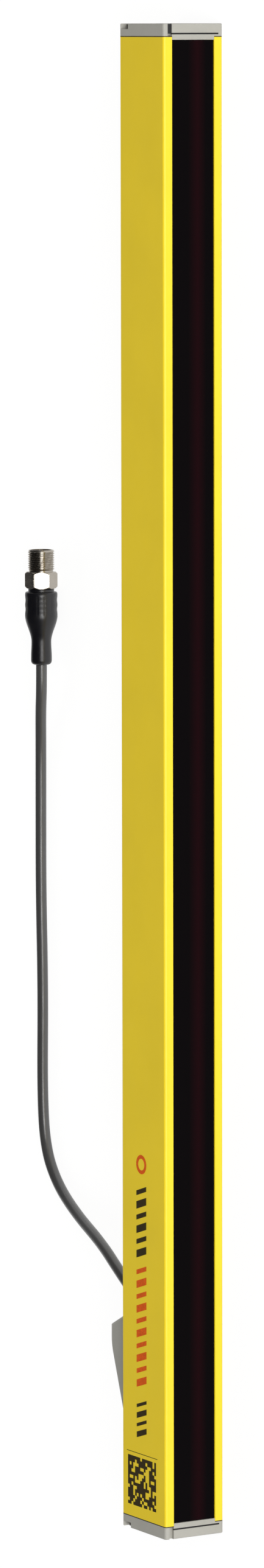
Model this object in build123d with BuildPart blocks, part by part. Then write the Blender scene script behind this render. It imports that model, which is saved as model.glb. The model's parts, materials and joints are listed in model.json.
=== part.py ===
from build123d import *
from math import cos, radians, sin, tan
import os

os.makedirs("parts", exist_ok=True)

# Safety light curtain, one bar with its lead, in millimetres.
# The bar lies on its long right-hand side. +X runs from the lower end, where the lead leaves,
# to the upper end. The window faces -Y, the mounting slot +Y, and the printed side faces up.
# The origin is on the resting side, half way along the bar and half way from window to back.

# Optical modules set the length: boards, diodes, carriers with their light tubes, and lenses
module_count = 3
beams_per_module = 8
beam_pitch = 25.0
end_allowance = 33.0

module_length = beams_per_module * beam_pitch
module_starts = [(number - module_count / 2) * module_length for number in range(module_count)]
overall_length = module_count * module_length + 2 * end_allowance

# Extruded section
section_width = 30.0
section_depth = 37.0
corner_radius = 1.2
wall = 1.8

front_y = -section_depth / 2
back_y = section_depth / 2
middle_z = section_width / 2

# Window and its seat, counted inwards from the front face
front_margin = 4.3
window_recess = 0.3
window_thickness = 2.0
window_side_gap = 0.1
window_edge_chamfer = 0.3
seal_thickness = 0.5
seal_width = 1.5
ledge_width = 1.8
ledge_thickness = 1.5

window_opening = section_width - 2 * front_margin
ledge_opening = window_opening - 2 * ledge_width
window_front_y = front_y + window_recess
window_back_y = window_front_y + window_thickness
seat_y = window_back_y + seal_thickness
cavity_front_y = seat_y + ledge_thickness

# Mounting slot in the back, a T in section
slot_mouth = 6.4
slot_lip = 1.8
slot_width = 10.8
slot_undercut = 4.5
slot_wall = 1.6

slot_roof_y = back_y - slot_lip
slot_floor_y = slot_roof_y - slot_undercut
cavity_back_y = slot_floor_y - slot_wall
slot_box_width = slot_width + 2 * slot_wall

# Screw ports in the four corners
port_radius = 1.5
port_wall = 1.1
port_inset = 4.2
front_port_setback = 1.9
rear_port_setback = 2.4

boss_radius = port_radius + port_wall
front_port_y = cavity_front_y + front_port_setback
rear_port_y = slot_roof_y - rear_port_setback
port_places = [
    (y, z)
    for y in (front_port_y, rear_port_y)
    for z in (port_inset, section_width - port_inset)
]
rear_port_places = [place for place in port_places if place[0] == rear_port_y]

# Lens strips stand at the cavity's front and the boards at its back, with the carriers between them
lens_front_gap = 1.0
lens_plate_thickness = 1.2
carrier_port_gap = 0.5
board_thickness = 1.6
board_spacing = 3.8
earth_spring_room = 1.6

carrier_front_y = cavity_front_y + lens_front_gap + lens_plate_thickness
carrier_shoulder_y = front_port_y + boss_radius + carrier_port_gap
controller_board_y = cavity_back_y - earth_spring_room - board_thickness
receiver_board_y = controller_board_y - board_spacing - board_thickness

# Boards slide into grooves between ribs on both side walls
board_side_gap = 0.2
groove_gap = 0.2
rib_thickness = 1.2
rib_height = 1.5

rib_reach = groove_gap + rib_thickness / 2
rib_centres = [
    y
    for board_y in (receiver_board_y, controller_board_y)
    for y in (board_y - rib_reach, board_y + board_thickness + rib_reach)
]
board_width = section_width - 2 * (wall + board_side_gap)

# End caps
cap_thickness = 5.6
cap_edge_radius = 0.4
cap_lip_length = 1.4
cap_lip_gap = 0.15
cap_groove_from_end = 4.0
cap_groove_width = 0.7
cap_groove_depth = 0.8
cap_notch_width = 2.2
cap_notch_depth = 1.8
gasket_thickness = 1.0
gasket_land = 1.0
gasket_gap = 0.1
spigot_length = 3.0
spigot_gap = 0.15
spigot_wall = 1.4
spigot_port_gap = 0.3
spigot_slot_gap = 1.2

housing_length = overall_length - 2 * cap_thickness
housing_end = housing_length / 2
cap_end = overall_length / 2
window_end = housing_end - cap_lip_length - cap_lip_gap
inner_end = housing_end - spigot_length

# Cap screws
screw_radius = 1.45
screw_reach = 12.0
screw_head_radius = 2.75
screw_head_height = 2.0
screw_socket_radius = 1.2
screw_socket_depth = 1.1
screw_clearance_radius = 1.7
counterbore_radius = 3.05
counterbore_depth = 2.4

screw_seat_x = cap_end - counterbore_depth

# Carriers, diodes and lenses
module_gap = 0.7
carrier_wall = 1.2
carrier_front_share = 0.6875
carrier_rib_gap = 0.5
tube_mouth_inset = 2.2
tube_throat = 6.0
tube_wall = 0.8
tube_end_gap = 0.3
peg_radius = 1.0
peg_gap = 0.1
peg_end_inset = 24.3
peg_height = 2.2
diode_length = 5.0
diode_width = 4.4
diode_height = 1.2
diode_chamfer = 0.3
lens_plate_inset = 0.2
lens_overlap = 0.1
lens_rise = 1.4

carrier_half_width = middle_z - wall - rib_height - carrier_rib_gap
carrier_front_width = 2 * carrier_half_width * carrier_front_share
lens_plate_width = carrier_front_width - 2 * lens_plate_inset
tube_mouth = carrier_front_width - 2 * tube_mouth_inset
lens_radius = tube_mouth / 2 + lens_overlap
peg_reach = (carrier_front_width / 2 + carrier_half_width - carrier_wall) / 2
tube_end_y = receiver_board_y - diode_height - tube_end_gap
tube_length = tube_end_y - carrier_front_y

# Electronics behind the first module, each placed at its share of the controller board's length
controller_inset = 60.0
controller_length = 130.0
header_length = 8.0
header_width = 12.0
header_height = 3.0
header_inset = 0.5
link_length = 14.0
link_width = 5.0
link_share = 0.85
bridge_length = 12.0
bridge_width = 14.0
bridge_height = 2.0
chip_shares = [(0.27, 10.0, 10.0), (0.45, 14.0, 14.0), (0.6, 8.0, 5.0)]
chip_height = 1.4
inductor_share = 0.17
inductor_size = 7.0
inductor_height = 3.0
capacitor_share = 0.72
capacitor_length = 7.3
capacitor_width = 4.3
capacitor_height = 2.8
earth_spring_share = 0.34
earth_spring_length = 14.0
earth_spring_width = 4.0
earth_spring_thickness = 0.3

controller_start = module_starts[0] + controller_inset
header_start = controller_start + header_inset
link_x = controller_start + controller_length * link_share
inductor_x = controller_start + controller_length * inductor_share
capacitor_x = controller_start + controller_length * capacitor_share
spring_x = controller_start + controller_length * earth_spring_share

# Display at the lower end
light_length = 3.0
light_width = 2.0
light_height = 1.0
light_count = 3
guide_length = 12.0
guide_plate_thickness = 1.2
guide_front_gap = 0.8
guide_rod_radius = 1.6
guide_rod_gap = 0.1
buffer_gap = 0.2
buffer_board_gap = 0.3

light_pitch = lens_plate_width / light_count

# Cable outlet on the back, counted from the lower end
outlet_from_end = 88.6
outlet_height = 15.0
outlet_side_inset = 3.0
outlet_flat = 9.5
outlet_length = 46.6
outlet_toe = 1.8
outlet_tilt = 27.0
outlet_shoulder_radius = 1.6
outlet_bend_radius = 22.0
outlet_edge_radius = 1.5
exit_height = 9.5
foot_gap = 0.15
foot_start_inset = 3.0
foot_end_inset = 1.5
cable_bore_radius = 3.0
entry_inset = 13.6
entry_radius = 3.5
entry_clearance = 0.2
entry_ring_width = 0.9
entry_ring_gap = 0.3
entry_ring_height = 0.8
foot_floor_gap = 0.1
outlet_screw_inset = 8.0
outlet_screw_seat = 0.4
outlet_screw_reach = 8.8

outlet_width = section_width - 2 * outlet_side_inset
outlet_half_width = outlet_width / 2
outlet_outer_y = back_y + outlet_height
outlet_top_x = outlet_from_end - cap_end
outlet_base_x = outlet_top_x + outlet_height * tan(radians(outlet_tilt))
outlet_low_x = outlet_top_x - outlet_length
outlet_screw_x = outlet_low_x + outlet_screw_inset
entry_x = outlet_top_x - entry_inset
exit_direction = Vector(cos(radians(outlet_tilt)), sin(radians(outlet_tilt)), 0)
exit_point = Vector(
    outlet_top_x + (outlet_height - exit_height) * tan(radians(outlet_tilt)),
    back_y + exit_height,
    middle_z,
)

# Grommet
grommet_flange_radius = 4.4
grommet_flange_depth = 3.0
grommet_gap = 0.05
grommet_root_radius = 4.0
grommet_tip_radius = 3.3
grommet_length = 6.5
grommet_step = 0.35

# Lead: a round sheath that comes down to the resting surface, runs beside the bar and ends in a plug
cable_radius = 2.5
cable_grip = 12.0
cable_free = 7.5
cable_lay = 2.6
corner_share = 0.45
loom_radius = 1.3

# Plug, along +X
plug_start_x = 42.9
plug_y = 125.9
plug_z = 7.6
plug_rim_radius = 4.75
plug_sleeve_radius = 4.5
plug_grip_radius = 7.4
plug_neck_radius = 5.9
plug_rear_radius = 3.6
plug_rim_length = 3.3
plug_sleeve_length = 10.6
plug_taper_length = 10.2
plug_grip_length = 12.5
plug_neck_length = 1.3
plug_edge_radius = 0.7
flute_count = 14
flute_radius = 0.9
flute_depth = 0.35
flute_end_gap = 1.2

nut_corner_radius = 7.5
nut_chamfer = 0.9
nut_length = 7.5
nut_axial_gap = 0.3
thread_radius = 6.0
thread_length = 10.0
thread_chamfer = 0.5
barrel_bore_radius = 4.9
nut_lip_length = 2.0
nut_running_gap = 0.08
insert_radius = 4.3
insert_flange_radius = 4.75
insert_flange_gap = 0.2
insert_flange_length = 1.2
insert_length = 9.0
keyway_width = 1.6
keyway_depth = 0.8
keyway_length = 3.5
pin_radius = 0.5
pin_length = 6.8
pin_tip_chamfer = 0.25
pin_circle_radius = 2.7
pin_count = 4

plug_sleeve_x = plug_start_x + plug_rim_length
plug_taper_x = plug_sleeve_x + plug_sleeve_length - plug_rim_length
plug_grip_x = plug_taper_x + plug_taper_length
plug_shoulder_x = plug_grip_x + plug_grip_length
insert_start_x = plug_shoulder_x + plug_neck_length
insert_end_x = insert_start_x + insert_length
nut_start_x = insert_start_x + nut_axial_gap
nut_lip_x = nut_start_x + nut_lip_length
thread_start_x = nut_start_x + nut_length
thread_end_x = thread_start_x + thread_length

# Hand-picked corners of the lead's route, from inside the outlet to the back of the plug
route_points = [
    exit_point - exit_direction * cable_grip,
    exit_point + exit_direction * cable_free,
    Vector(-223.8, 49.5, 14.8),
    Vector(-214.3, 71.5, 11.2),
    Vector(-206.4, 97.0, 5.4),
    Vector(-196.0, 121.5, 2.8),
    Vector(-180.5, 132.6, cable_lay),
    Vector(-155.0, 135.0, cable_lay),
    Vector(-108.0, 134.0, cable_lay),
    Vector(-62.0, 135.6, cable_lay),
    Vector(-22.0, 135.4, cable_lay),
    Vector(6.0, 134.2, 3.2),
    Vector(21.0, 129.6, 5.9),
    Vector(32.0, plug_y, plug_z),
    Vector(plug_start_x, plug_y, plug_z),
]


def corner_radii(points):
    """Largest arc that each corner's two runs allow, with straight left between the arcs."""
    radii = []
    for before, corner, after in zip(points, points[1:], points[2:]):
        arriving = corner - before
        leaving = after - corner
        half_turn = radians(arriving.get_angle(leaving)) / 2
        shorter = min(arriving.length, leaving.length)
        radii.append(corner_share * shorter / tan(half_turn))
    return radii


# Housing profile
with BuildPart() as housing_profile:
    with BuildSketch(Plane.YZ.offset(-housing_end)) as section:
        with Locations((0, middle_z)):
            Rectangle(section_depth, section_width)
        fillet(section.vertices(), corner_radius)
        with Locations((front_y, middle_z)):
            Rectangle(
                seat_y - front_y,
                window_opening,
                align=(Align.MIN, Align.CENTER),
                mode=Mode.SUBTRACT,
            )
            Rectangle(
                cavity_front_y - front_y,
                ledge_opening,
                align=(Align.MIN, Align.CENTER),
                mode=Mode.SUBTRACT,
            )
        with Locations((cavity_front_y, middle_z)):
            Rectangle(
                cavity_back_y - cavity_front_y,
                section_width - 2 * wall,
                align=(Align.MIN, Align.CENTER),
                mode=Mode.SUBTRACT,
            )
        pocket_width = middle_z - wall - slot_box_width / 2
        with Locations((cavity_back_y, wall)):
            Rectangle(
                slot_roof_y - cavity_back_y,
                pocket_width,
                align=(Align.MIN, Align.MIN),
                mode=Mode.SUBTRACT,
            )
        with Locations((cavity_back_y, section_width - wall)):
            Rectangle(
                slot_roof_y - cavity_back_y,
                pocket_width,
                align=(Align.MIN, Align.MAX),
                mode=Mode.SUBTRACT,
            )
        with Locations((back_y, middle_z)):
            Rectangle(slot_lip, slot_mouth, align=(Align.MAX, Align.CENTER), mode=Mode.SUBTRACT)
        with Locations((slot_roof_y, middle_z)):
            Rectangle(slot_undercut, slot_width, align=(Align.MAX, Align.CENTER), mode=Mode.SUBTRACT)
        with Locations(*port_places):
            Circle(boss_radius)
        for rib_y in rib_centres:
            with Locations((rib_y, wall)):
                Rectangle(rib_thickness, rib_height, align=(Align.CENTER, Align.MIN))
            with Locations((rib_y, section_width - wall)):
                Rectangle(rib_thickness, rib_height, align=(Align.CENTER, Align.MAX))
        with Locations(*port_places):
            Circle(port_radius, mode=Mode.SUBTRACT)
    extrude(amount=housing_length)
    # Cable entry and the outlet's screw hole, drilled through the slot's floor
    with BuildSketch(Plane.XZ.offset(-slot_floor_y)):
        with Locations((entry_x, middle_z)):
            Circle(entry_radius + entry_clearance)
        with Locations((outlet_screw_x, middle_z)):
            Circle(port_radius)
    extrude(amount=slot_wall, mode=Mode.SUBTRACT)
housing_profile.part.label = "housing_profile"
export_step(housing_profile.part, "parts/housing_profile.step")

# Front window
with BuildPart() as front_window:
    with BuildSketch(Plane.YZ.offset(-window_end)):
        with Locations((window_front_y, middle_z)):
            Rectangle(
                window_thickness,
                window_opening - 2 * window_side_gap,
                align=(Align.MIN, Align.CENTER),
            )
    extrude(amount=2 * window_end)
    chamfer(front_window.faces().sort_by(Axis.Y)[0].edges(), window_edge_chamfer)
front_window.part.label = "front_window"
export_step(front_window.part, "parts/front_window.step")

# Sealing strips between the window and the ledges it sits on
for side, seal_z in (
    ("printed_side", section_width - front_margin - ledge_width),
    ("resting_side", front_margin + ledge_width - seal_width),
):
    with BuildPart() as window_seal:
        with BuildSketch(Plane.YZ.offset(-window_end)):
            with Locations((window_back_y, seal_z)):
                Rectangle(seal_thickness, seal_width, align=(Align.MIN, Align.MIN))
        extrude(amount=2 * window_end)
    window_seal.part.label = f"window_seal_{side}"
    export_step(window_seal.part, f"parts/window_seal_{side}.step")

# End caps, the upper one made and the lower one mirrored
spigot_front_y = front_port_y + boss_radius + spigot_port_gap
spigot_back_y = cavity_back_y - spigot_slot_gap
spigot_depth = spigot_back_y - spigot_front_y
spigot_middle_y = (spigot_front_y + spigot_back_y) / 2
spigot_width = section_width - 2 * (wall + rib_height + spigot_gap)
gasket_rim = wall - gasket_land
gasket_slot_y = cavity_back_y + gasket_land
gasket_slot_width = slot_box_width - 2 * gasket_land
gasket_depth = back_y - gasket_rim - seat_y

with BuildPart() as upper_end_cap:
    with BuildSketch(Plane.YZ.offset(housing_end)) as cap_outline:
        with Locations((0, middle_z)):
            Rectangle(section_depth, section_width)
        fillet(cap_outline.vertices(), corner_radius)
        with Locations((back_y, middle_z)):
            Rectangle(slot_lip, slot_mouth, align=(Align.MAX, Align.CENTER), mode=Mode.SUBTRACT)
        with Locations((slot_roof_y, middle_z)):
            Rectangle(slot_undercut, slot_width, align=(Align.MAX, Align.CENTER), mode=Mode.SUBTRACT)
    extrude(amount=cap_thickness)
    fillet(upper_end_cap.faces().sort_by(Axis.X)[-1].edges(), cap_edge_radius)
    # Pocket for the gasket
    with BuildSketch(Plane.YZ.offset(housing_end)):
        with Locations((seat_y, middle_z)):
            Rectangle(
                gasket_depth,
                section_width - 2 * gasket_rim,
                align=(Align.MIN, Align.CENTER),
            )
        with Locations((gasket_slot_y, middle_z)):
            Rectangle(
                section_depth,
                gasket_slot_width,
                align=(Align.MIN, Align.CENTER),
                mode=Mode.SUBTRACT,
            )
    extrude(amount=gasket_thickness, mode=Mode.SUBTRACT)
    # Spigot that locates the cap between the ribs, hollowed out
    with BuildSketch(Plane.YZ.offset(inner_end)):
        with Locations((spigot_middle_y, middle_z)):
            Rectangle(spigot_depth, spigot_width)
            Rectangle(spigot_depth - 2 * spigot_wall, spigot_width - 2 * spigot_wall, mode=Mode.SUBTRACT)
    extrude(amount=spigot_length + gasket_thickness)
    # Lip that closes the window's opening
    with BuildSketch(Plane.YZ.offset(housing_end)):
        with Locations((front_y, middle_z)):
            Rectangle(
                seat_y - front_y - window_side_gap,
                window_opening - 2 * window_side_gap,
                align=(Align.MIN, Align.CENTER),
            )
    extrude(amount=-cap_lip_length)
    # Fine groove across the front of the cap
    with BuildSketch(Plane.YZ.offset(cap_end - cap_groove_from_end)):
        with Locations((front_y, front_margin / 2)):
            Rectangle(
                cap_groove_depth,
                section_width - front_margin * 3 / 2,
                align=(Align.MIN, Align.MIN),
            )
    extrude(amount=-cap_groove_width, mode=Mode.SUBTRACT)
    # Upright notch beside the window, next to the printed side
    with BuildSketch(Plane.YZ.offset(housing_end)):
        with Locations((front_y, section_width - front_margin)):
            Rectangle(cap_notch_depth, cap_notch_width, align=(Align.MIN, Align.MIN))
    extrude(amount=cap_thickness, mode=Mode.SUBTRACT)
    # Screw holes, sunk for the heads, the rear pair open to the sides
    with BuildSketch(Plane.YZ.offset(housing_end)):
        with Locations(*port_places):
            Circle(screw_clearance_radius)
    extrude(amount=cap_thickness, mode=Mode.SUBTRACT)
    with BuildSketch(Plane.YZ.offset(screw_seat_x)):
        with Locations(*port_places):
            Circle(counterbore_radius)
        with Locations(rear_port_places[0]):
            Rectangle(2 * counterbore_radius, port_inset, align=(Align.CENTER, Align.MAX))
        with Locations(rear_port_places[1]):
            Rectangle(2 * counterbore_radius, port_inset, align=(Align.CENTER, Align.MIN))
    extrude(amount=counterbore_depth, mode=Mode.SUBTRACT)
upper_end_cap.part.label = "upper_end_cap"
export_step(upper_end_cap.part, "parts/upper_end_cap.step")

with BuildPart() as lower_end_cap:
    mirror(upper_end_cap.part, about=Plane.YZ)
lower_end_cap.part.label = "lower_end_cap"
export_step(lower_end_cap.part, "parts/lower_end_cap.step")

# Flat gaskets in the caps' pockets
with BuildPart() as upper_cap_gasket:
    with BuildSketch(Plane.YZ.offset(housing_end)):
        with Locations((seat_y + gasket_gap, middle_z)):
            Rectangle(
                gasket_depth - 2 * gasket_gap,
                section_width - 2 * (gasket_rim + gasket_gap),
                align=(Align.MIN, Align.CENTER),
            )
        with Locations((gasket_slot_y - gasket_gap, middle_z)):
            Rectangle(
                section_depth,
                gasket_slot_width + 2 * gasket_gap,
                align=(Align.MIN, Align.CENTER),
                mode=Mode.SUBTRACT,
            )
        with Locations((spigot_middle_y, middle_z)):
            Rectangle(
                spigot_depth + 2 * gasket_gap,
                spigot_width + 2 * gasket_gap,
                mode=Mode.SUBTRACT,
            )
        with Locations(*port_places):
            Circle(screw_clearance_radius, mode=Mode.SUBTRACT)
    extrude(amount=gasket_thickness)
upper_cap_gasket.part.label = "upper_cap_gasket"
export_step(upper_cap_gasket.part, "parts/upper_cap_gasket.step")

with BuildPart() as lower_cap_gasket:
    mirror(upper_cap_gasket.part, about=Plane.YZ)
lower_cap_gasket.part.label = "lower_cap_gasket"
export_step(lower_cap_gasket.part, "parts/lower_cap_gasket.step")

# Cap screws, pan heads with a hexagon socket
with BuildPart() as upper_cap_screws:
    with BuildSketch(Plane.YZ.offset(screw_seat_x)):
        with Locations(*port_places):
            Circle(screw_radius)
    extrude(amount=-(screw_seat_x - housing_end + screw_reach))
    with BuildSketch(Plane.YZ.offset(screw_seat_x)):
        with Locations(*port_places):
            Circle(screw_head_radius)
    extrude(amount=screw_head_height)
    with BuildSketch(Plane.YZ.offset(screw_seat_x + screw_head_height)):
        with Locations(*port_places):
            RegularPolygon(screw_socket_radius, 6)
    extrude(amount=-screw_socket_depth, mode=Mode.SUBTRACT)
upper_cap_screws.part.label = "upper_cap_screws"
export_step(upper_cap_screws.part, "parts/upper_cap_screws.step")

with BuildPart() as lower_cap_screws:
    mirror(upper_cap_screws.part, about=Plane.YZ)
lower_cap_screws.part.label = "lower_cap_screws"
export_step(lower_cap_screws.part, "parts/lower_cap_screws.step")

# One lens, drawn flat side on the origin and bulging towards -Y
with BuildPart() as lens_dome:
    with BuildSketch(Plane.XY):
        with BuildLine():
            Line((0, 0), (lens_radius, 0))
            SagittaArc((lens_radius, 0), (-lens_radius, 0), -lens_rise)
            Line((-lens_radius, 0), (0, 0))
        make_face()
        with Locations((-lens_radius, 0)):
            Rectangle(lens_radius, 2 * lens_radius, align=(Align.MIN, Align.CENTER), mode=Mode.SUBTRACT)
    revolve(axis=Axis.Y)

# One light tube, square and flaring towards -Y, with the diode's end on the origin: the solid that it fills
# and the way through it. Each is where two wedges meet, one seen from above and one from the end.
with BuildPart() as tube_outside:
    with BuildSketch(Plane.XY):
        with BuildLine():
            Polyline(
                (-tube_throat / 2 - tube_wall, 0),
                (tube_throat / 2 + tube_wall, 0),
                (tube_mouth / 2 + tube_wall, -tube_length),
                (-tube_mouth / 2 - tube_wall, -tube_length),
                close=True,
            )
        make_face()
    extrude(amount=tube_mouth, both=True)
    with BuildSketch(Plane.YZ):
        with BuildLine():
            Polyline(
                (0, -tube_throat / 2 - tube_wall),
                (0, tube_throat / 2 + tube_wall),
                (-tube_length, tube_mouth / 2 + tube_wall),
                (-tube_length, -tube_mouth / 2 - tube_wall),
                close=True,
            )
        make_face()
    extrude(amount=tube_mouth, both=True, mode=Mode.INTERSECT)

with BuildPart() as tube_inside:
    with BuildSketch(Plane.XY):
        with BuildLine():
            Polyline(
                (-tube_throat / 2, 0),
                (tube_throat / 2, 0),
                (tube_mouth / 2, -tube_length),
                (-tube_mouth / 2, -tube_length),
                close=True,
            )
        make_face()
    extrude(amount=tube_mouth, both=True)
    with BuildSketch(Plane.YZ):
        with BuildLine():
            Polyline(
                (0, -tube_throat / 2),
                (0, tube_throat / 2),
                (-tube_length, tube_mouth / 2),
                (-tube_length, -tube_mouth / 2),
                close=True,
            )
        make_face()
    extrude(amount=tube_mouth, both=True, mode=Mode.INTERSECT)

# Optical modules
for number, start_x in enumerate(module_starts, 1):
    middle_x = start_x + module_length / 2
    module_reach = module_length - 2 * module_gap
    beam_places = [(start_x + (beam + 0.5) * beam_pitch, middle_z) for beam in range(beams_per_module)]
    peg_places = [
        (middle_x + side * (module_reach / 2 - peg_end_inset), middle_z + rise * peg_reach)
        for side in (-1, 1)
        for rise in (-1, 1)
    ]

    with BuildPart() as receiver_board:
        with BuildSketch(Plane.XZ.offset(-receiver_board_y)):
            with Locations((middle_x, middle_z)):
                Rectangle(module_reach, board_width)
            with Locations(*peg_places):
                Circle(peg_radius + peg_gap, mode=Mode.SUBTRACT)
        extrude(amount=-board_thickness)
    receiver_board.part.label = f"receiver_board_{number}"
    export_step(receiver_board.part, f"parts/receiver_board_{number}.step")

    with BuildPart() as photodiodes:
        with BuildSketch(Plane.XZ.offset(-receiver_board_y)):
            with Locations(*beam_places):
                Rectangle(diode_length, diode_width)
        extrude(amount=diode_height)
        chamfer(photodiodes.faces().filter_by(Axis.Y).group_by(Axis.Y)[0].edges(), diode_chamfer)
    photodiodes.part.label = f"photodiodes_{number}"
    export_step(photodiodes.part, f"parts/photodiodes_{number}.step")

    # Stepped channel, open towards the board, with one tapered light tube for each diode
    with BuildPart() as optics_carrier:
        with BuildSketch(Plane.YZ.offset(middle_x - module_reach / 2)):
            with Locations((carrier_front_y, middle_z)):
                Rectangle(
                    receiver_board_y - carrier_front_y,
                    carrier_front_width,
                    align=(Align.MIN, Align.CENTER),
                )
            with Locations((carrier_shoulder_y, middle_z)):
                Rectangle(
                    receiver_board_y - carrier_shoulder_y,
                    2 * carrier_half_width,
                    align=(Align.MIN, Align.CENTER),
                )
            with Locations((carrier_front_y + carrier_wall, middle_z)):
                Rectangle(
                    receiver_board_y - carrier_front_y,
                    carrier_front_width - 2 * carrier_wall,
                    align=(Align.MIN, Align.CENTER),
                    mode=Mode.SUBTRACT,
                )
            with Locations((carrier_shoulder_y + carrier_wall, middle_z)):
                Rectangle(
                    receiver_board_y - carrier_shoulder_y,
                    2 * (carrier_half_width - carrier_wall),
                    align=(Align.MIN, Align.CENTER),
                    mode=Mode.SUBTRACT,
                )
        extrude(amount=module_reach)
        with Locations(*[(x, tube_end_y, z) for x, z in beam_places]):
            add(tube_outside.part)
            add(tube_inside.part, mode=Mode.SUBTRACT)
        with BuildSketch(Plane.XZ.offset(-receiver_board_y - peg_height)):
            with Locations(*peg_places):
                Circle(peg_radius)
        extrude(amount=peg_height + receiver_board_y - carrier_shoulder_y - carrier_wall)
    optics_carrier.part.label = f"optics_carrier_{number}"
    export_step(optics_carrier.part, f"parts/optics_carrier_{number}.step")

    with BuildPart() as lens_strip:
        with BuildSketch(Plane.XZ.offset(-carrier_front_y)):
            with Locations((middle_x, middle_z)):
                Rectangle(module_reach, lens_plate_width)
        extrude(amount=lens_plate_thickness)
        with Locations(*[(x, carrier_front_y - lens_plate_thickness, z) for x, z in beam_places]):
            add(lens_dome.part)
    lens_strip.part.label = f"lens_strip_{number}"
    export_step(lens_strip.part, f"parts/lens_strip_{number}.step")

# Controller board
board_back_y = receiver_board_y + board_thickness
with BuildPart() as controller_board:
    with BuildSketch(Plane.XZ.offset(-controller_board_y)):
        with Locations((controller_start, middle_z)):
            Rectangle(controller_length, board_width, align=(Align.MIN, Align.CENTER))
    extrude(amount=-board_thickness)
controller_board.part.label = "controller_board"
export_step(controller_board.part, "parts/controller_board.step")

# Connectors that bridge one receiver board to the next, and the first one to the controller
with BuildPart() as board_connectors:
    with BuildSketch(Plane.XZ.offset(-board_back_y)):
        with Locations(*[(start_x, middle_z) for start_x in module_starts[1:]]):
            Rectangle(bridge_length, bridge_width)
    extrude(amount=-bridge_height)
    with BuildSketch(Plane.XZ.offset(-board_back_y)):
        with Locations((link_x, middle_z)):
            Rectangle(link_length, link_width)
    extrude(amount=-(controller_board_y - board_back_y))
board_connectors.part.label = "board_connectors"
export_step(board_connectors.part, "parts/board_connectors.step")

with BuildPart() as controller_chips:
    for chip_share, chip_length, chip_width in chip_shares:
        chip_x = controller_start + controller_length * chip_share
        with BuildSketch(Plane.XZ.offset(-controller_board_y)):
            with Locations((chip_x, middle_z)):
                Rectangle(chip_length, chip_width)
        extrude(amount=chip_height)
controller_chips.part.label = "controller_chips"
export_step(controller_chips.part, "parts/controller_chips.step")

with BuildPart() as power_parts:
    with BuildSketch(Plane.XZ.offset(-controller_board_y)):
        with Locations((inductor_x, middle_z)):
            RectangleRounded(inductor_size, inductor_size, inductor_size / 4)
    extrude(amount=inductor_height)
    with BuildSketch(Plane.XZ.offset(-controller_board_y)):
        with Locations((capacitor_x, middle_z)):
            Rectangle(capacitor_length, capacitor_width)
    extrude(amount=capacitor_height)
power_parts.part.label = "power_parts"
export_step(power_parts.part, "parts/power_parts.step")

# Socket for the lead's cores, on the controller's end nearest the cable entry
with BuildPart() as lead_header:
    with BuildSketch(Plane.XZ.offset(-controller_board_y)):
        with Locations((header_start, middle_z)):
            Rectangle(header_length, header_width, align=(Align.MIN, Align.CENTER))
    extrude(amount=header_height)
lead_header.part.label = "lead_header"
export_step(lead_header.part, "parts/lead_header.step")

# Sprung strip that earths the controller to the profile
spring_low_y = controller_board_y + board_thickness + earth_spring_thickness / 2
spring_high_y = cavity_back_y - earth_spring_thickness / 2
with BuildPart() as earth_spring:
    with BuildSketch(Plane.XY.offset(middle_z - earth_spring_width / 2)):
        with BuildLine():
            Polyline(
                (spring_x - earth_spring_length / 2, spring_low_y),
                (spring_x - earth_spring_length / 4, spring_low_y),
                (spring_x - earth_spring_length / 8, spring_high_y),
                (spring_x + earth_spring_length / 8, spring_high_y),
                (spring_x + earth_spring_length / 4, spring_low_y),
                (spring_x + earth_spring_length / 2, spring_low_y),
            )
        trace(line_width=earth_spring_thickness)
    extrude(amount=earth_spring_width)
earth_spring.part.label = "earth_spring"
export_step(earth_spring.part, "parts/earth_spring.step")

# Display at the lower end: its board, lights and light guide
display_start = -inner_end + buffer_gap
display_end = module_starts[0] - module_gap
display_x = (display_start + display_end) / 2
light_places = [
    (display_x, middle_z + (number - (light_count - 1) / 2) * light_pitch) for number in range(light_count)
]
with BuildPart() as display_board:
    with BuildSketch(Plane.XZ.offset(-receiver_board_y)):
        with Locations((display_x, middle_z)):
            Rectangle(display_end - display_start, board_width)
    extrude(amount=-board_thickness)
display_board.part.label = "display_board"
export_step(display_board.part, "parts/display_board.step")

with BuildPart() as status_lights:
    with BuildSketch(Plane.XZ.offset(-receiver_board_y)):
        with Locations(*light_places):
            Rectangle(light_length, light_width)
    extrude(amount=light_height)
status_lights.part.label = "status_lights"
export_step(status_lights.part, "parts/status_lights.step")

guide_front_y = cavity_front_y + guide_front_gap
guide_end_y = receiver_board_y - light_height - guide_rod_gap
with BuildPart() as light_guide:
    with BuildSketch(Plane.XZ.offset(-guide_front_y)):
        with Locations((display_x, middle_z)):
            Rectangle(guide_length, lens_plate_width)
    extrude(amount=-guide_plate_thickness)
    with BuildSketch(Plane.XZ.offset(-guide_front_y)):
        with Locations(*light_places):
            Circle(guide_rod_radius)
    extrude(amount=-(guide_end_y - guide_front_y))
light_guide.part.label = "light_guide"
export_step(light_guide.part, "parts/light_guide.step")

# Buffer between the last carrier and the upper cap
buffer_start = module_starts[-1] + module_length - module_gap + buffer_gap
buffer_end = inner_end - buffer_gap
buffer_front_y = carrier_shoulder_y + carrier_wall
with BuildPart() as end_buffer:
    with BuildSketch(Plane.YZ.offset(buffer_start)):
        with Locations((buffer_front_y, middle_z)):
            Rectangle(
                receiver_board_y - buffer_board_gap - buffer_front_y,
                2 * (carrier_half_width - carrier_wall),
                align=(Align.MIN, Align.CENTER),
            )
    extrude(amount=buffer_end - buffer_start)
end_buffer.part.label = "end_buffer"
export_step(end_buffer.part, "parts/end_buffer.step")

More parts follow.
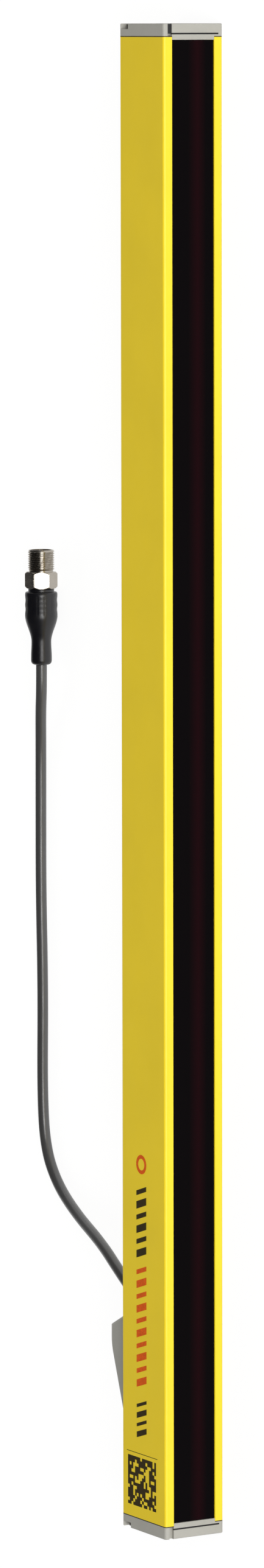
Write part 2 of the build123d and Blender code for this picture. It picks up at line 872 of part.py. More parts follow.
# Cable outlet: a moulded wedge on a T-shaped foot that slides in the mounting slot
foot_half_mouth = slot_mouth / 2 - foot_gap
foot_half_head = slot_width / 2 - foot_gap
foot_floor_y = slot_floor_y + foot_floor_gap
foot_low_x = outlet_low_x + foot_end_inset
foot_high_x = outlet_base_x - foot_start_inset
exit_plane = Plane(origin=exit_point, x_dir=(0, 0, 1), z_dir=exit_direction)
entry_meeting_y = exit_point.Y + (entry_x - exit_point.X) * tan(radians(outlet_tilt))
entry_bore_depth = entry_meeting_y + cable_bore_radius - foot_floor_y
cable_bore_depth = (exit_point.X - entry_x) / cos(radians(outlet_tilt))
ring_inner_radius = entry_radius + entry_ring_gap
ring_outer_radius = ring_inner_radius + entry_ring_width
outlet_seat_y = back_y + outlet_screw_seat

with BuildPart() as cable_outlet:
    with BuildSketch(Plane.XY.offset(middle_z - outlet_half_width)) as outlet_side:
        with BuildLine():
            Polyline(
                (outlet_base_x, back_y),
                (outlet_top_x, outlet_outer_y),
                (outlet_top_x - outlet_flat, outlet_outer_y),
                (outlet_low_x, back_y + outlet_toe),
                (outlet_low_x, back_y),
                close=True,
            )
        make_face()
        outer_corners = outlet_side.vertices().group_by(Axis.Y)[-1].sort_by(Axis.X)
        fillet(outer_corners[0], outlet_bend_radius)
        fillet(outer_corners[-1], outlet_shoulder_radius)
    extrude(amount=outlet_width)
    flank_edges = cable_outlet.edges().group_by(Axis.Z)[0] + cable_outlet.edges().group_by(Axis.Z)[-1]
    base_y = back_y + outlet_toe / 2
    fillet(
        [edge for edge in flank_edges if edge.center().Y > base_y],
        outlet_edge_radius,
    )
    # Foot, a neck through the slot's mouth and a head in its undercut
    with BuildSketch(Plane.YZ.offset(foot_low_x)):
        with Locations((back_y, middle_z)):
            Rectangle(back_y - foot_floor_y, 2 * foot_half_mouth, align=(Align.MAX, Align.CENTER))
        with Locations((slot_roof_y - foot_gap, middle_z)):
            Rectangle(
                slot_roof_y - foot_gap - foot_floor_y,
                2 * foot_half_head,
                align=(Align.MAX, Align.CENTER),
            )
    extrude(amount=foot_high_x - foot_low_x)
    # Way in from the slot's floor, and the groove of its sealing ring
    with BuildSketch(Plane.XZ.offset(-foot_floor_y)):
        with Locations((entry_x, middle_z)):
            Circle(entry_radius)
    extrude(amount=-entry_bore_depth, mode=Mode.SUBTRACT)
    with BuildSketch(Plane.XZ.offset(-foot_floor_y)):
        with Locations((entry_x, middle_z)):
            Circle(ring_outer_radius)
            Circle(ring_inner_radius, mode=Mode.SUBTRACT)
    extrude(amount=-(entry_ring_height - foot_floor_gap), mode=Mode.SUBTRACT)
    # Way out for the lead, widened for the grommet's flange
    with BuildSketch(exit_plane):
        Circle(cable_bore_radius)
    extrude(amount=-cable_bore_depth, mode=Mode.SUBTRACT)
    with BuildSketch(exit_plane):
        Circle(grommet_flange_radius + grommet_gap)
    extrude(amount=-grommet_flange_depth, mode=Mode.SUBTRACT)
    # Sunk screw hole in the low end
    with BuildSketch(Plane.XZ.offset(-foot_floor_y)):
        with Locations((outlet_screw_x, middle_z)):
            Circle(screw_clearance_radius)
    extrude(amount=-outlet_height, mode=Mode.SUBTRACT)
    with BuildSketch(Plane.XZ.offset(-outlet_seat_y)):
        with Locations((outlet_screw_x, middle_z)):
            Circle(counterbore_radius)
    extrude(amount=-outlet_height, mode=Mode.SUBTRACT)
cable_outlet.part.label = "cable_outlet"
export_step(cable_outlet.part, "parts/cable_outlet.step")

# Sealing ring round the cable entry
with BuildPart() as outlet_gasket:
    with BuildSketch(Plane.XZ.offset(-slot_floor_y)):
        with Locations((entry_x, middle_z)):
            Circle(ring_outer_radius - gasket_gap)
            Circle(ring_inner_radius + gasket_gap, mode=Mode.SUBTRACT)
    extrude(amount=-(entry_ring_height - gasket_gap))
outlet_gasket.part.label = "outlet_gasket"
export_step(outlet_gasket.part, "parts/outlet_gasket.step")

# Screw that holds the outlet's foot to the slot's floor
with BuildPart() as outlet_screw:
    with BuildSketch(Plane.XZ.offset(-outlet_seat_y)):
        with Locations((outlet_screw_x, middle_z)):
            Circle(screw_radius)
    extrude(amount=outlet_screw_reach)
    with BuildSketch(Plane.XZ.offset(-outlet_seat_y)):
        with Locations((outlet_screw_x, middle_z)):
            Circle(screw_head_radius)
    extrude(amount=-screw_head_height)
    with BuildSketch(Plane.XZ.offset(-outlet_seat_y - screw_head_height)):
        with Locations((outlet_screw_x, middle_z)):
            RegularPolygon(screw_socket_radius, 6)
    extrude(amount=screw_socket_depth, mode=Mode.SUBTRACT)
outlet_screw.part.label = "outlet_screw"
export_step(outlet_screw.part, "parts/outlet_screw.step")

# Grommet: a flange in the outlet and a stepped, tapering sleeve on the lead
grommet_bore_radius = cable_radius + grommet_gap
grommet_plane = Plane(origin=exit_point, x_dir=exit_direction, z_dir=(0, 0, 1))
step_length = grommet_length / 3
taper_step = (grommet_root_radius - grommet_tip_radius) / 3
with BuildPart() as cable_grommet:
    with BuildSketch(grommet_plane):
        with BuildLine():
            Polyline(
                (-grommet_flange_depth, grommet_bore_radius),
                (-grommet_flange_depth, grommet_flange_radius),
                (0, grommet_flange_radius),
                (0, grommet_root_radius),
                (step_length, grommet_root_radius - taper_step),
                (step_length, grommet_root_radius - taper_step - grommet_step),
                (2 * step_length, grommet_root_radius - 2 * taper_step),
                (2 * step_length, grommet_root_radius - 2 * taper_step - grommet_step),
                (grommet_length, grommet_tip_radius),
                (grommet_length, grommet_bore_radius),
                close=True,
            )
        make_face()
    revolve(axis=Axis(exit_point, exit_direction))
cable_grommet.part.label = "cable_grommet"
export_step(cable_grommet.part, "parts/cable_grommet.step")

# Lead
route_radii = corner_radii(route_points)
with BuildPart() as cable:
    with BuildLine() as cable_route:
        FilletPolyline(*route_points, radius=route_radii)
    with BuildSketch(Plane(origin=route_points[0], z_dir=exit_direction)):
        Circle(cable_radius)
    sweep(path=cable_route.line)
cable.part.label = "cable"
export_step(cable.part, "parts/cable.step")
print("lead radii", [round(radius, 1) for radius in route_radii])
print("lead length", round(sum(edge.length for edge in cable_route.edges()), 1))

# Cores in one sleeve, from the lead's end down through the slot's floor and along to the header
loom_drop_y = controller_board_y - header_height / 2
loom_points = [
    route_points[0],
    Vector(entry_x, entry_meeting_y, middle_z),
    Vector(entry_x, loom_drop_y, middle_z),
    Vector(header_start, loom_drop_y, middle_z),
]
loom_radii = corner_radii(loom_points)
with BuildPart() as core_loom:
    with BuildLine() as loom_route:
        FilletPolyline(*loom_points, radius=loom_radii)
    with BuildSketch(Plane(origin=loom_points[0], z_dir=exit_direction * -1)):
        Circle(loom_radius)
    sweep(path=loom_route.line)
core_loom.part.label = "core_loom"
export_step(core_loom.part, "parts/core_loom.step")
print("loom radii", [round(radius, 1) for radius in loom_radii])

# Plug body, turned about its own axis and fluted for the fingers
plug_origin = (0, plug_y, plug_z)
plug_plane = Plane(origin=plug_origin, x_dir=(1, 0, 0), z_dir=(0, 0, 1))
plug_axis = Axis(plug_origin, (1, 0, 0))
plug_section = Plane(origin=plug_origin, x_dir=(0, 1, 0), z_dir=(1, 0, 0))

with BuildPart() as plug_body:
    with BuildSketch(plug_plane):
        with BuildLine():
            Polyline(
                (plug_shoulder_x - plug_edge_radius, plug_grip_radius),
                (plug_shoulder_x, plug_grip_radius - plug_edge_radius),
                (plug_shoulder_x, plug_neck_radius),
                (insert_start_x, plug_neck_radius),
                (insert_start_x, 0),
                (plug_start_x, 0),
                (plug_start_x, plug_rear_radius),
                (plug_start_x + plug_edge_radius, plug_rim_radius - plug_edge_radius / 2),
                (plug_start_x + 2 * plug_edge_radius, plug_rim_radius),
                (plug_sleeve_x - plug_edge_radius, plug_rim_radius),
                (plug_sleeve_x, plug_sleeve_radius),
                (plug_taper_x, plug_sleeve_radius),
            )
            Spline(
                (plug_taper_x, plug_sleeve_radius),
                (plug_grip_x, plug_grip_radius),
                tangents=((1, 0), (1, 0)),
            )
            Line(
                (plug_grip_x, plug_grip_radius),
                (plug_shoulder_x - plug_edge_radius, plug_grip_radius),
            )
        make_face()
    revolve(axis=plug_axis)
    with BuildSketch(plug_section.offset(plug_grip_x + flute_end_gap)):
        with PolarLocations(plug_grip_radius + flute_radius - flute_depth, flute_count):
            Circle(flute_radius)
    extrude(amount=plug_grip_length - 2 * flute_end_gap, mode=Mode.SUBTRACT)
plug_body.part.label = "plug_body"
export_step(plug_body.part, "parts/plug_body.step")

# Insert that carries the contacts and holds the nut by its flange
flange_x = nut_lip_x + insert_flange_gap
with BuildPart() as contact_insert:
    with BuildSketch(plug_plane):
        with BuildLine():
            Polyline(
                (insert_start_x, 0),
                (insert_start_x, insert_radius),
                (flange_x, insert_radius),
                (flange_x, insert_flange_radius),
                (flange_x + insert_flange_length, insert_flange_radius),
                (flange_x + insert_flange_length, insert_radius),
                (insert_end_x, insert_radius),
                (insert_end_x, 0),
                close=True,
            )
        make_face()
    revolve(axis=plug_axis)
    with BuildSketch(plug_section.offset(insert_end_x)):
        with Locations((0, insert_radius)):
            Rectangle(keyway_width, keyway_depth, align=(Align.CENTER, Align.MAX))
    extrude(amount=-keyway_length, mode=Mode.SUBTRACT)
contact_insert.part.label = "contact_insert"
export_step(contact_insert.part, "parts/contact_insert.step")

with BuildPart() as contact_pins:
    with BuildSketch(plug_section.offset(insert_end_x)):
        Circle(pin_radius)
        with PolarLocations(pin_circle_radius, pin_count, start_angle=45):
            Circle(pin_radius)
    extrude(amount=pin_length)
    chamfer(contact_pins.faces().group_by(Axis.X)[-1].edges(), pin_tip_chamfer)
contact_pins.part.label = "contact_pins"
export_step(contact_pins.part, "parts/contact_pins.step")

# Coupling nut: hexagon collar and threaded barrel in one piece, free to turn on the insert
with BuildPart() as coupling_nut:
    with BuildSketch(plug_section.offset(nut_start_x)):
        RegularPolygon(nut_corner_radius, 6)
    extrude(amount=nut_length)
    with BuildSketch(plug_plane):
        with BuildLine():
            Polyline(
                (nut_start_x, 0),
                (nut_start_x, nut_corner_radius - nut_chamfer),
                (nut_start_x + nut_chamfer, nut_corner_radius),
                (thread_start_x - nut_chamfer, nut_corner_radius),
                (thread_start_x, nut_corner_radius - nut_chamfer),
                (thread_start_x, 0),
                close=True,
            )
        make_face()
    revolve(axis=plug_axis, mode=Mode.INTERSECT)
    with BuildSketch(plug_section.offset(thread_start_x)):
        Circle(thread_radius)
    extrude(amount=thread_length)
    chamfer(coupling_nut.edges().filter_by(GeomType.CIRCLE).sort_by(Axis.X)[-1], thread_chamfer)
    with BuildSketch(plug_section.offset(nut_start_x)):
        Circle(insert_radius + nut_running_gap)
    extrude(amount=nut_lip_length, mode=Mode.SUBTRACT)
    with BuildSketch(plug_section.offset(nut_lip_x)):
        Circle(barrel_bore_radius)
    extrude(amount=thread_end_x - nut_lip_x, mode=Mode.SUBTRACT)
coupling_nut.part.label = "coupling_nut"
export_step(coupling_nut.part, "parts/coupling_nut.step")
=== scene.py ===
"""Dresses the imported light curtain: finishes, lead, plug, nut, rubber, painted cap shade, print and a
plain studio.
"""

import json
import math
import random

import bmesh
import bpy
from bpy.props import FloatProperty, FloatVectorProperty, IntProperty, PointerProperty
from mathutils import Matrix, Vector


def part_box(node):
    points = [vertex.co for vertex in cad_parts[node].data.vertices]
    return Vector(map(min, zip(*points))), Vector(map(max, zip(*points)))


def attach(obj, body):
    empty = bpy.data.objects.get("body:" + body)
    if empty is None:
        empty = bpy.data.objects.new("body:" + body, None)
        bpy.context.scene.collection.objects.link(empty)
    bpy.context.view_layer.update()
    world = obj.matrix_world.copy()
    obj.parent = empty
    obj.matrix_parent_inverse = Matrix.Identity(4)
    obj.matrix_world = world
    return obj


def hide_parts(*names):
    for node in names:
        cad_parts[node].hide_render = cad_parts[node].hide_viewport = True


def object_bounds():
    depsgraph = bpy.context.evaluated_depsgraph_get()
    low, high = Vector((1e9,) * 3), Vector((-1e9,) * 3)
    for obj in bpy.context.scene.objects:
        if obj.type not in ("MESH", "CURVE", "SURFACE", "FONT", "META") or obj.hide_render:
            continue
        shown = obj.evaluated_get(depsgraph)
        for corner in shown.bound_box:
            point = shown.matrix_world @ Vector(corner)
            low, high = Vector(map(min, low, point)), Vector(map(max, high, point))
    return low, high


bl_info = {
    "name": "Light Curtain Dresser",
    "version": (1, 0, 0),
    "blender": (4, 5, 0),
    "location": "3D View > Sidebar > Light Curtain",
    "description": "Gives a packed light curtain its finishes, lead, plug, print and studio",
    "category": "Object",
}

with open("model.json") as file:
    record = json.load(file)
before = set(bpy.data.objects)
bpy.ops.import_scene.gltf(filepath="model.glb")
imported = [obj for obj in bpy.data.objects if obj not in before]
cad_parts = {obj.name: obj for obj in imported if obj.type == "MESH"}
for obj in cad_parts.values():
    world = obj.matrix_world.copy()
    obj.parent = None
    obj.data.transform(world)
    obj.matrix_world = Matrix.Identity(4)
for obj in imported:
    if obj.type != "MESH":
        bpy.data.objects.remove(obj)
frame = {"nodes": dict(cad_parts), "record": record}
cad_low, cad_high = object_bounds()

# In metres: a millimetre, and a distance that counts as none
MM = 0.001
HAIR = 1e-9

BAR = "curtain"
NUT = "coupling_nut"

# Where the frame puts the pieces that this script shapes
plug_low, plug_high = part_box("plug_body")
nut_low, nut_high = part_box("coupling_nut")
bar_low, bar_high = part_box("housing_profile")
PLUG_AXIS = Vector((0, (nut_low.y + nut_high.y) / 2, (nut_low.z + nut_high.z) / 2))
NUT_CORNER = (nut_high.y - nut_low.y) / 2
GRIP_RADIUS = (plug_high.y - plug_low.y) / 2

# Where the plug changes shape, from its rear end to its neck
RIM_END = plug_low.x + 3.3 * MM
SLEEVE_END = plug_low.x + 10.6 * MM
FLUTES_START = plug_low.x + 22.0 * MM
GRIP_START = plug_low.x + 22.6 * MM
SHOULDER = plug_low.x + 33.3 * MM
SHOULDER_ROUNDING = 1.2 * MM
RIM_STEP = 0.25 * MM
NECK_RADIUS = 5.9 * MM
RING_SPACING = 4.3 * MM
RING_OFFSET = 0.5 * MM

# The nut's chamfers, the form of its thread, and how sharp its hexagon's corners are
COLLAR_CHAMFER = 0.9 * MM
THREAD_GAP = 0.7 * MM
THREAD_CHAMFER = 0.6 * MM
THREAD_RUN_IN = 0.6 * MM
THREAD_RUN_OUT = 0.5 * MM
THREAD_FULLNESS = 1.4
THREAD_STEEPNESS = 3.6
ROWS_PER_TURN = 12
CORNER_SHARPNESS = 40

# Where the print stands: along the bar from its lower end, and across its upper side
LOWER_END = cad_low.x
BLOCK_ALONG = (LOWER_END + 11.0 * MM, LOWER_END + 33.2 * MM)
BLOCK_ACROSS = (-10.5 * MM, 13.5 * MM)
LINE_ALONG = (LOWER_END + 34.85 * MM, LOWER_END + 35.15 * MM)
LINE_ACROSS = (-11.6 * MM, 14.5 * MM)
SHORT_BARS = (LOWER_END + 42.5 * MM, LOWER_END + 59.8 * MM)
RED_BARS = (LOWER_END + 65.0 * MM, LOWER_END + 120.5 * MM)
BLACK_BARS = (LOWER_END + 123.2 * MM, LOWER_END + 156.0 * MM)
RING_PLACE = LOWER_END + 165.1 * MM
RING_OUTER = 4.3 * MM
RING_INNER = 2.6 * MM

# The lead's route: from inside the outlet, down to the surface, along the bar and up into the plug
OUTLET_EXIT = Vector((-0.2416, 0.0280, 0.0150))
LEAD_ROUTE = [
    (-0.25229, 0.02255, 0.0150),
    (-0.24695, 0.02528, 0.0150),
    (-0.2318, 0.0330, 0.0150),
    (-0.2240, 0.0486, 0.0136),
    (-0.2151, 0.0690, 0.0104),
    (-0.2062, 0.0990, 0.0061),
    (-0.1956, 0.1216, 0.0029),
    (-0.1805, 0.1324, 0.0026),
    (-0.1550, 0.1350, 0.0026),
    (-0.1080, 0.1340, 0.0026),
    (-0.0620, 0.1356, 0.0026),
    (-0.0220, 0.1354, 0.0026),
    (0.0060, 0.1342, 0.0032),
    (0.0210, 0.1296, 0.0059),
    (0.0320, 0.1259, 0.0076),
    (0.0429, 0.1259, 0.0076),
]


def metres(name, description, default):
    """A length, in metres, that a user may change."""
    return FloatProperty(name=name, description=description, default=default, unit="LENGTH")


def tint(name, description, default):
    """A colour that a user may change."""
    return FloatVectorProperty(name=name, description=description, default=default, subtype="COLOR")


class LeadSettings(bpy.types.PropertyGroup):
    """Sizes of the lead and of the grommet it leaves through."""

    diameter: metres("Lead diameter", "Outside diameter of the sheath", 0.005)
    flange_radius: metres("Flange radius", "Radius of the grommet's flange", 0.0044)
    flange_depth: metres("Flange depth", "How far the grommet sits in the outlet", 0.003)
    sleeve_length: metres("Sleeve length", "Length of the grommet outside the outlet", 0.0065)
    sleeve_root: metres("Sleeve root", "Radius where the sleeve starts", 0.004)
    sleeve_tip: metres("Sleeve tip", "Radius where the sleeve ends", 0.0033)


class PlugSettings(bpy.types.PropertyGroup):
    """Sizes of the overmoulded plug and its coupling nut."""

    sleeve_radius: metres("Sleeve radius", "Radius of the narrow sleeve behind the grip", 0.0045)
    ring_depth: metres("Ring depth", "Depth of the waists between the grip's rings", 0.00017)
    flute_count: IntProperty(
        name="Flutes", description="Number of finger flutes round the grip", default=14
    )
    flute_depth: metres("Flute depth", "Depth of each finger flute", 0.00006)
    collar_length: metres("Collar length", "Length of the nut's hexagon collar", 0.0075)
    thread_radius: metres("Thread radius", "Crest radius of the thread", 0.006)
    thread_pitch: metres("Thread pitch", "Distance from crest to crest", 0.001)
    thread_depth: metres("Thread depth", "Depth from crest to root", 0.0005)
    bore_radius: metres("Bore radius", "Radius inside the threaded barrel", 0.0049)
    lip_radius: metres("Lip radius", "Radius of the hole the insert passes through", 0.00438)
    lip_length: metres("Lip length", "Thickness of the lip that holds the nut on", 0.002)


class SealSettings(bpy.types.PropertyGroup):
    """Sizes of the rubber edges at the end caps' joints, and of the groove and notch that get painted
    shade.
    """

    joint_width: metres("Joint width", "Width of the gasket's edge between cap and extrusion", 0.0004)
    proud: metres("Proud", "How far the gasket's edge stands proud", 0.000012)
    depth: metres("Depth", "How far the gasket's edge reaches inwards", 0.0003)
    corner_radius: metres("Corner radius", "Radius of the section's corners", 0.0012)
    front_margin: metres("Front margin", "Width of the extrusion's edge beside the window", 0.0043)
    slot_mouth: metres("Slot mouth", "Width of the rear slot's mouth", 0.0064)
    groove_from_end: metres("Groove place", "Distance of the front groove from the cap's end", 0.004)
    groove_width: metres("Groove width", "Width of the front groove", 0.0007)
    groove_depth: metres("Groove depth", "Depth of the front groove", 0.0008)
    notch_width: metres("Notch width", "Width of the notch beside the window", 0.0022)
    notch_depth: metres("Notch depth", "Depth of the notch beside the window", 0.0018)


class PrintSettings(bpy.types.PropertyGroup):
    """Sizes and colours of the plain print on the bar's upper side."""

    ink_height: metres("Ink height", "How far the ink stands proud", 0.000015)
    column_low: metres("Column low edge", "Edge of the print nearest the window", -0.0025)
    column_high: metres("Column high edge", "Edge of the print nearest the back", 0.0059)
    cell: metres("Block cell", "Size of one cell in the block pattern", 0.0015)
    seed: IntProperty(name="Block seed", description="Picks the cells that are filled", default=142)
    black: tint("Black ink", "Colour of the dark marks", (0.03, 0.02, 0.004))
    red: tint("Red ink", "Colour of the red marks", (0.6, 0.085, 0.004))


class FinishSettings(bpy.types.PropertyGroup):
    """Colours of the finishes."""

    yellow: tint("Powder coat", "Colour of the extrusion", (0.87, 0.64, 0.004))
    window: tint("Window", "Colour of the dark window", (0.0012, 0.0005, 0.0009))
    # Painted light: the window band's colour stands in for light that gets a little way in
    window_band: tint(
        "Window band", "Colour where light gets a little way into the window", (0.009, 0.0008, 0.002)
    )
    caps: tint("End caps", "Colour of the die-cast caps", (0.385, 0.377, 0.34))
    outlet: tint("Outlet", "Colour of the cable outlet", (0.35, 0.345, 0.315))
    sheath: tint("Sheath", "Colour of the lead", (0.05, 0.05, 0.051))
    overmould: tint("Overmould", "Colour of the plug's grip", (0.004, 0.004, 0.006))
    nickel: tint("Nickel", "Colour of the plated nut", (0.43, 0.395, 0.345))


class StageSettings(bpy.types.PropertyGroup):
    """Camera lens, lamps and floor."""

    lens: FloatProperty(name="Lens", description="Focal length for a 36 mm long side", default=160.62)
    key_power: FloatProperty(
        name="Key lamp", description="Lamp on the window's side", default=74.0, unit="POWER"
    )
    key_shine: FloatProperty(
        name="Key shine",
        description="Share of the key lamp that glossy surfaces mirror",
        default=0.42,
        subtype="FACTOR",
    )
    fill_power: FloatProperty(
        name="Fill lamp", description="Lamp behind the bar", default=22.0, unit="POWER"
    )
    ambient: FloatProperty(
        name="Ambient", description="Strength of the even light all round", default=0.3
    )
    floor_glow: FloatProperty(
        name="Floor white",
        description="Share of the floor that shows as plain white",
        default=0.82,
        subtype="FACTOR",
    )


def settings(group):
    """The sizes and colours that the scene holds for that group of pieces."""
    return getattr(bpy.context.scene, "curtain_" + group)


class Sheet:
    """A material's nodes: its shader, the object's own coordinates, and short ways to add the rest."""

    def __init__(self, name, roughness, metallic=0.0, specular=0.5):
        self.material = bpy.data.materials.new(name)
        self.material.use_nodes = True
        self.tree = self.material.node_tree
        self.shader = self.tree.nodes["Principled BSDF"]
        self.shader.inputs["Roughness"].default_value = roughness
        self.shader.inputs["Metallic"].default_value = metallic
        self.shader.inputs["Specular IOR Level"].default_value = specular
        self.place = self.node("ShaderNodeTexCoord").outputs["Object"]

    def node(self, kind, **choices):
        made = self.tree.nodes.new(kind)
        for key, value in choices.items():
            setattr(made, key, value)
        return made

    def join(self, source, target):
        self.tree.links.new(source, target)

    def stretched(self, stretch):
        """The object's coordinates, scaled apart along each axis."""
        mapping = self.node("ShaderNodeMapping")
        mapping.inputs["Scale"].default_value = stretch
        self.join(self.place, mapping.inputs["Vector"])
        return mapping.outputs["Vector"]

    def noise(self, size, detail=2.0, place=None):
        """Noise with features of about that size, in metres."""
        texture = self.node("ShaderNodeTexNoise")
        texture.inputs["Scale"].default_value = 1 / size
        texture.inputs["Detail"].default_value = detail
        self.join(place or self.place, texture.inputs["Vector"])
        return texture.outputs["Fac"]

    def ranged(self, value, low, high, start=0.3, end=0.7):
        """The value's middle stretch, from start to end, spread from low to high."""
        spread = self.node("ShaderNodeMapRange")
        for name, number in (("From Min", start), ("From Max", end), ("To Min", low), ("To Max", high)):
            spread.inputs[name].default_value = number
        self.join(value, spread.inputs["Value"])
        return spread.outputs["Result"]

    def tinted(self, value, first, second):
        """A colour that goes from first to second as the value goes from 0 to 1."""
        mix = self.node("ShaderNodeMix", data_type="RGBA")
        mix.inputs["A"].default_value = (*first, 1)
        mix.inputs["B"].default_value = (*second, 1)
        self.join(value, mix.inputs["Factor"])
        return mix.outputs["Result"]

    def colour(self, socket):
        self.join(socket, self.shader.inputs["Base Color"])

    def roughness(self, value, low, high):
        self.join(self.ranged(value, low, high), self.shader.inputs["Roughness"])

    def bump(self, height, depth):
        """Relief of that depth in metres."""
        relief = self.node("ShaderNodeBump")
        relief.inputs["Strength"].default_value = 1.0
        relief.inputs["Distance"].default_value = depth
        self.join(height, relief.inputs["Height"])
        self.join(relief.outputs["Normal"], self.shader.inputs["Normal"])


def shaded(colour, share):
    """The colour, lighter for a share above 1 and darker below it."""
    return tuple(min(1.0, channel * share) for channel in colour)


def ramped(tree, value, stops):
    """Greys that follow the value, from stops that each say how light it is at one place on it."""
    ramp = tree.nodes.new("ShaderNodeValToRGB")
    tree.links.new(value, ramp.inputs["Fac"])
    elements = ramp.color_ramp.elements
    elements.remove(elements[1])
    for index, (place, light) in enumerate(stops):
        element = elements.new(place) if index else elements[0]
        element.position = place
        element.color = (light, light, light, 1)
    return ramp.outputs["Color"]


def picked(name):
    """The colour that the finish setting of that name holds."""
    return tuple(getattr(settings("finish"), name))


def moulded(name, colour, roughness, grain, relief, spread=0.12, specular=0.5):
    """A moulded or cast surface, cloudy in colour and gloss, with its grain and relief in mm."""
    sheet = Sheet(name, roughness, specular=specular)
    cloud = sheet.noise(grain * 25 * MM, detail=3.0)
    sheet.colour(sheet.tinted(cloud, shaded(colour, 1 - spread), shaded(colour, 1 + spread)))
    sheet.roughness(sheet.noise(grain * 8 * MM), roughness - 0.06, roughness + 0.06)
    sheet.bump(sheet.noise(grain * MM, detail=4.0), relief * MM)
    return sheet.material


def polished(name, colour, roughness, streak, relief):
    """Bare metal with turning marks round the x axis, with its streaks and relief in mm."""
    sheet = Sheet(name, roughness, metallic=1.0)
    marks = sheet.noise(streak * MM, detail=3.0, place=sheet.stretched((1.0, 0.08, 0.08)))
    cloud = sheet.noise(streak * 12 * MM)
    sheet.colour(sheet.tinted(cloud, shaded(colour, 0.88), shaded(colour, 1.08)))
    sheet.roughness(marks, roughness - 0.05, roughness + 0.09)
    sheet.bump(marks, relief * MM)
    return sheet.material


def yellow_powder_coat():
    """Satin powder coat: soft orange-peel relief over a fine grain."""
    yellow = picked("yellow")
    sheet = Sheet("yellow_powder_coat", roughness=0.5, specular=0.85)
    cloud = sheet.noise(30 * MM, detail=3.0)
    sheet.colour(sheet.tinted(cloud, shaded(yellow, 0.94), shaded(yellow, 1.05)))
    peel = sheet.noise(1.6 * MM, detail=1.0)
    grain = sheet.noise(0.35 * MM)
    grain_share = 0.35
    relief = sheet.node("ShaderNodeMath", operation="MULTIPLY_ADD")
    sheet.join(grain, relief.inputs[0])
    relief.inputs[1].default_value = grain_share
    sheet.join(peel, relief.inputs[2])
    sheet.roughness(sheet.noise(12 * MM), 0.49, 0.54)
    sheet.bump(relief.outputs["Value"], 0.012 * MM)
    return sheet.material


def dark_window():
    """Infrared-pass sheet: almost black, with a faint warm band painted along it for light that gets a
    little way in.
    """
    sheet = Sheet("dark_window", roughness=0.14, specular=0.04)
    axes = sheet.node("ShaderNodeSeparateXYZ")
    sheet.join(sheet.place, axes.inputs["Vector"])
    height = sheet.ranged(axes.outputs["Z"], 0.0, 1.0, start=bar_low.z, end=bar_high.z)
    # Painted light: the warmer band across the window's middle height stands in for light that gets in
    band = ramped(sheet.tree, height, ((0.28, 0), (0.42, 1), (0.58, 0)))
    sheet.colour(sheet.tinted(band, picked("window"), picked("window_band")))
    sheet.roughness(sheet.noise(20 * MM, detail=3.0), 0.1, 0.18)
    sheet.bump(sheet.noise(20 * MM), 0.02 * MM)
    return sheet.material


def black_rubber():
    """Dull rubber of the gaskets, the seals, the grommet and the end buffer, and of the black pieces of
    painted shade at the caps.
    """
    colour = (0.02, 0.02, 0.021)
    return moulded("black_rubber", colour, roughness=0.7, grain=0.4, relief=0.03, specular=0.3)


def grey_diecast():
    """Cast and blasted zinc of the end caps."""
    look = {"grain": 0.5, "relief": 0.04, "spread": 0.08, "specular": 0.3}
    return moulded("grey_diecast", picked("caps"), roughness=0.5, **look)


def steel():
    """Plain steel of the screws and the earth spring."""
    return polished("steel", (0.3, 0.29, 0.27), roughness=0.3, streak=0.4, relief=0.008)


def nickel_plate():
    """Bright, faintly warm plate of the coupling nut."""
    return polished("nickel_plate", picked("nickel"), roughness=0.2, streak=0.5, relief=0.006)


def gold_contact():
    """Gold plate of the contact pins."""
    return polished("gold_contact", (0.78, 0.5, 0.16), roughness=0.22, streak=0.3, relief=0.004)


def cream_plastic():
    """Cream moulding of the connectors on the boards."""
    return moulded("cream_plastic", (0.72, 0.66, 0.5), roughness=0.5, grain=0.3, relief=0.02)


def black_plastic():
    """Black moulding inside the bar and of the plug's insert."""
    return moulded("black_plastic", (0.016, 0.016, 0.017), roughness=0.45, grain=0.3, relief=0.02)


def grey_plastic():
    """Moulded outlet: fine spark texture and a soft sheen."""
    return moulded("grey_plastic", picked("outlet"), roughness=0.52, grain=0.6, relief=0.05, spread=0.08)


def grey_sheath():
    """Extruded sheath: smooth, with long faint draw lines."""
    colour = picked("sheath")
    sheet = Sheet("grey_sheath", roughness=0.42, specular=1.0)
    lines = sheet.noise(0.8 * MM, place=sheet.stretched((0.1, 1.0, 1.0)))
    sheet.colour(sheet.tinted(lines, shaded(colour, 0.88), shaded(colour, 1.12)))
    sheet.roughness(sheet.noise(10 * MM), 0.27, 0.34)
    sheet.bump(lines, 0.03 * MM)
    return sheet.material


def black_overmould():
    """Soft black overmould with a satin sheen."""
    look = {"grain": 0.4, "relief": 0.003, "spread": 0.05, "specular": 0.6}
    return moulded("black_overmould", picked("overmould"), roughness=0.34, **look)


def green_board():
    """Circuit board: green mask over a pattern of straight tracks."""
    sheet = Sheet("green_board", roughness=0.35)
    tracks = sheet.node("ShaderNodeTexBrick", offset=0.37, squash=1.3)
    tracks.inputs["Color1"].default_value = (0.012, 0.13, 0.04, 1)
    tracks.inputs["Color2"].default_value = (0.016, 0.16, 0.05, 1)
    tracks.inputs["Mortar"].default_value = (0.05, 0.28, 0.08, 1)
    tracks.inputs["Scale"].default_value = 160.0
    tracks.inputs["Mortar Size"].default_value = 0.06
    turn = sheet.node("ShaderNodeMapping")
    turn.inputs["Rotation"].default_value = (math.radians(90), 0, 0)
    sheet.join(sheet.place, turn.inputs["Vector"])
    sheet.join(turn.outputs["Vector"], tracks.inputs["Vector"])
    sheet.colour(tracks.outputs["Color"])
    sheet.bump(tracks.outputs["Fac"], 0.03 * MM)
    return sheet.material


def milky_lens():
    """Milky caps of the status lights, which light gets a little way into."""
    colour = (0.8, 0.8, 0.74)
    material = moulded("milky_lens", colour, roughness=0.3, grain=0.5, relief=0.01, spread=0.04)
    material.node_tree.nodes["Principled BSDF"].inputs["Subsurface Weight"].default_value = 0.2
    return material


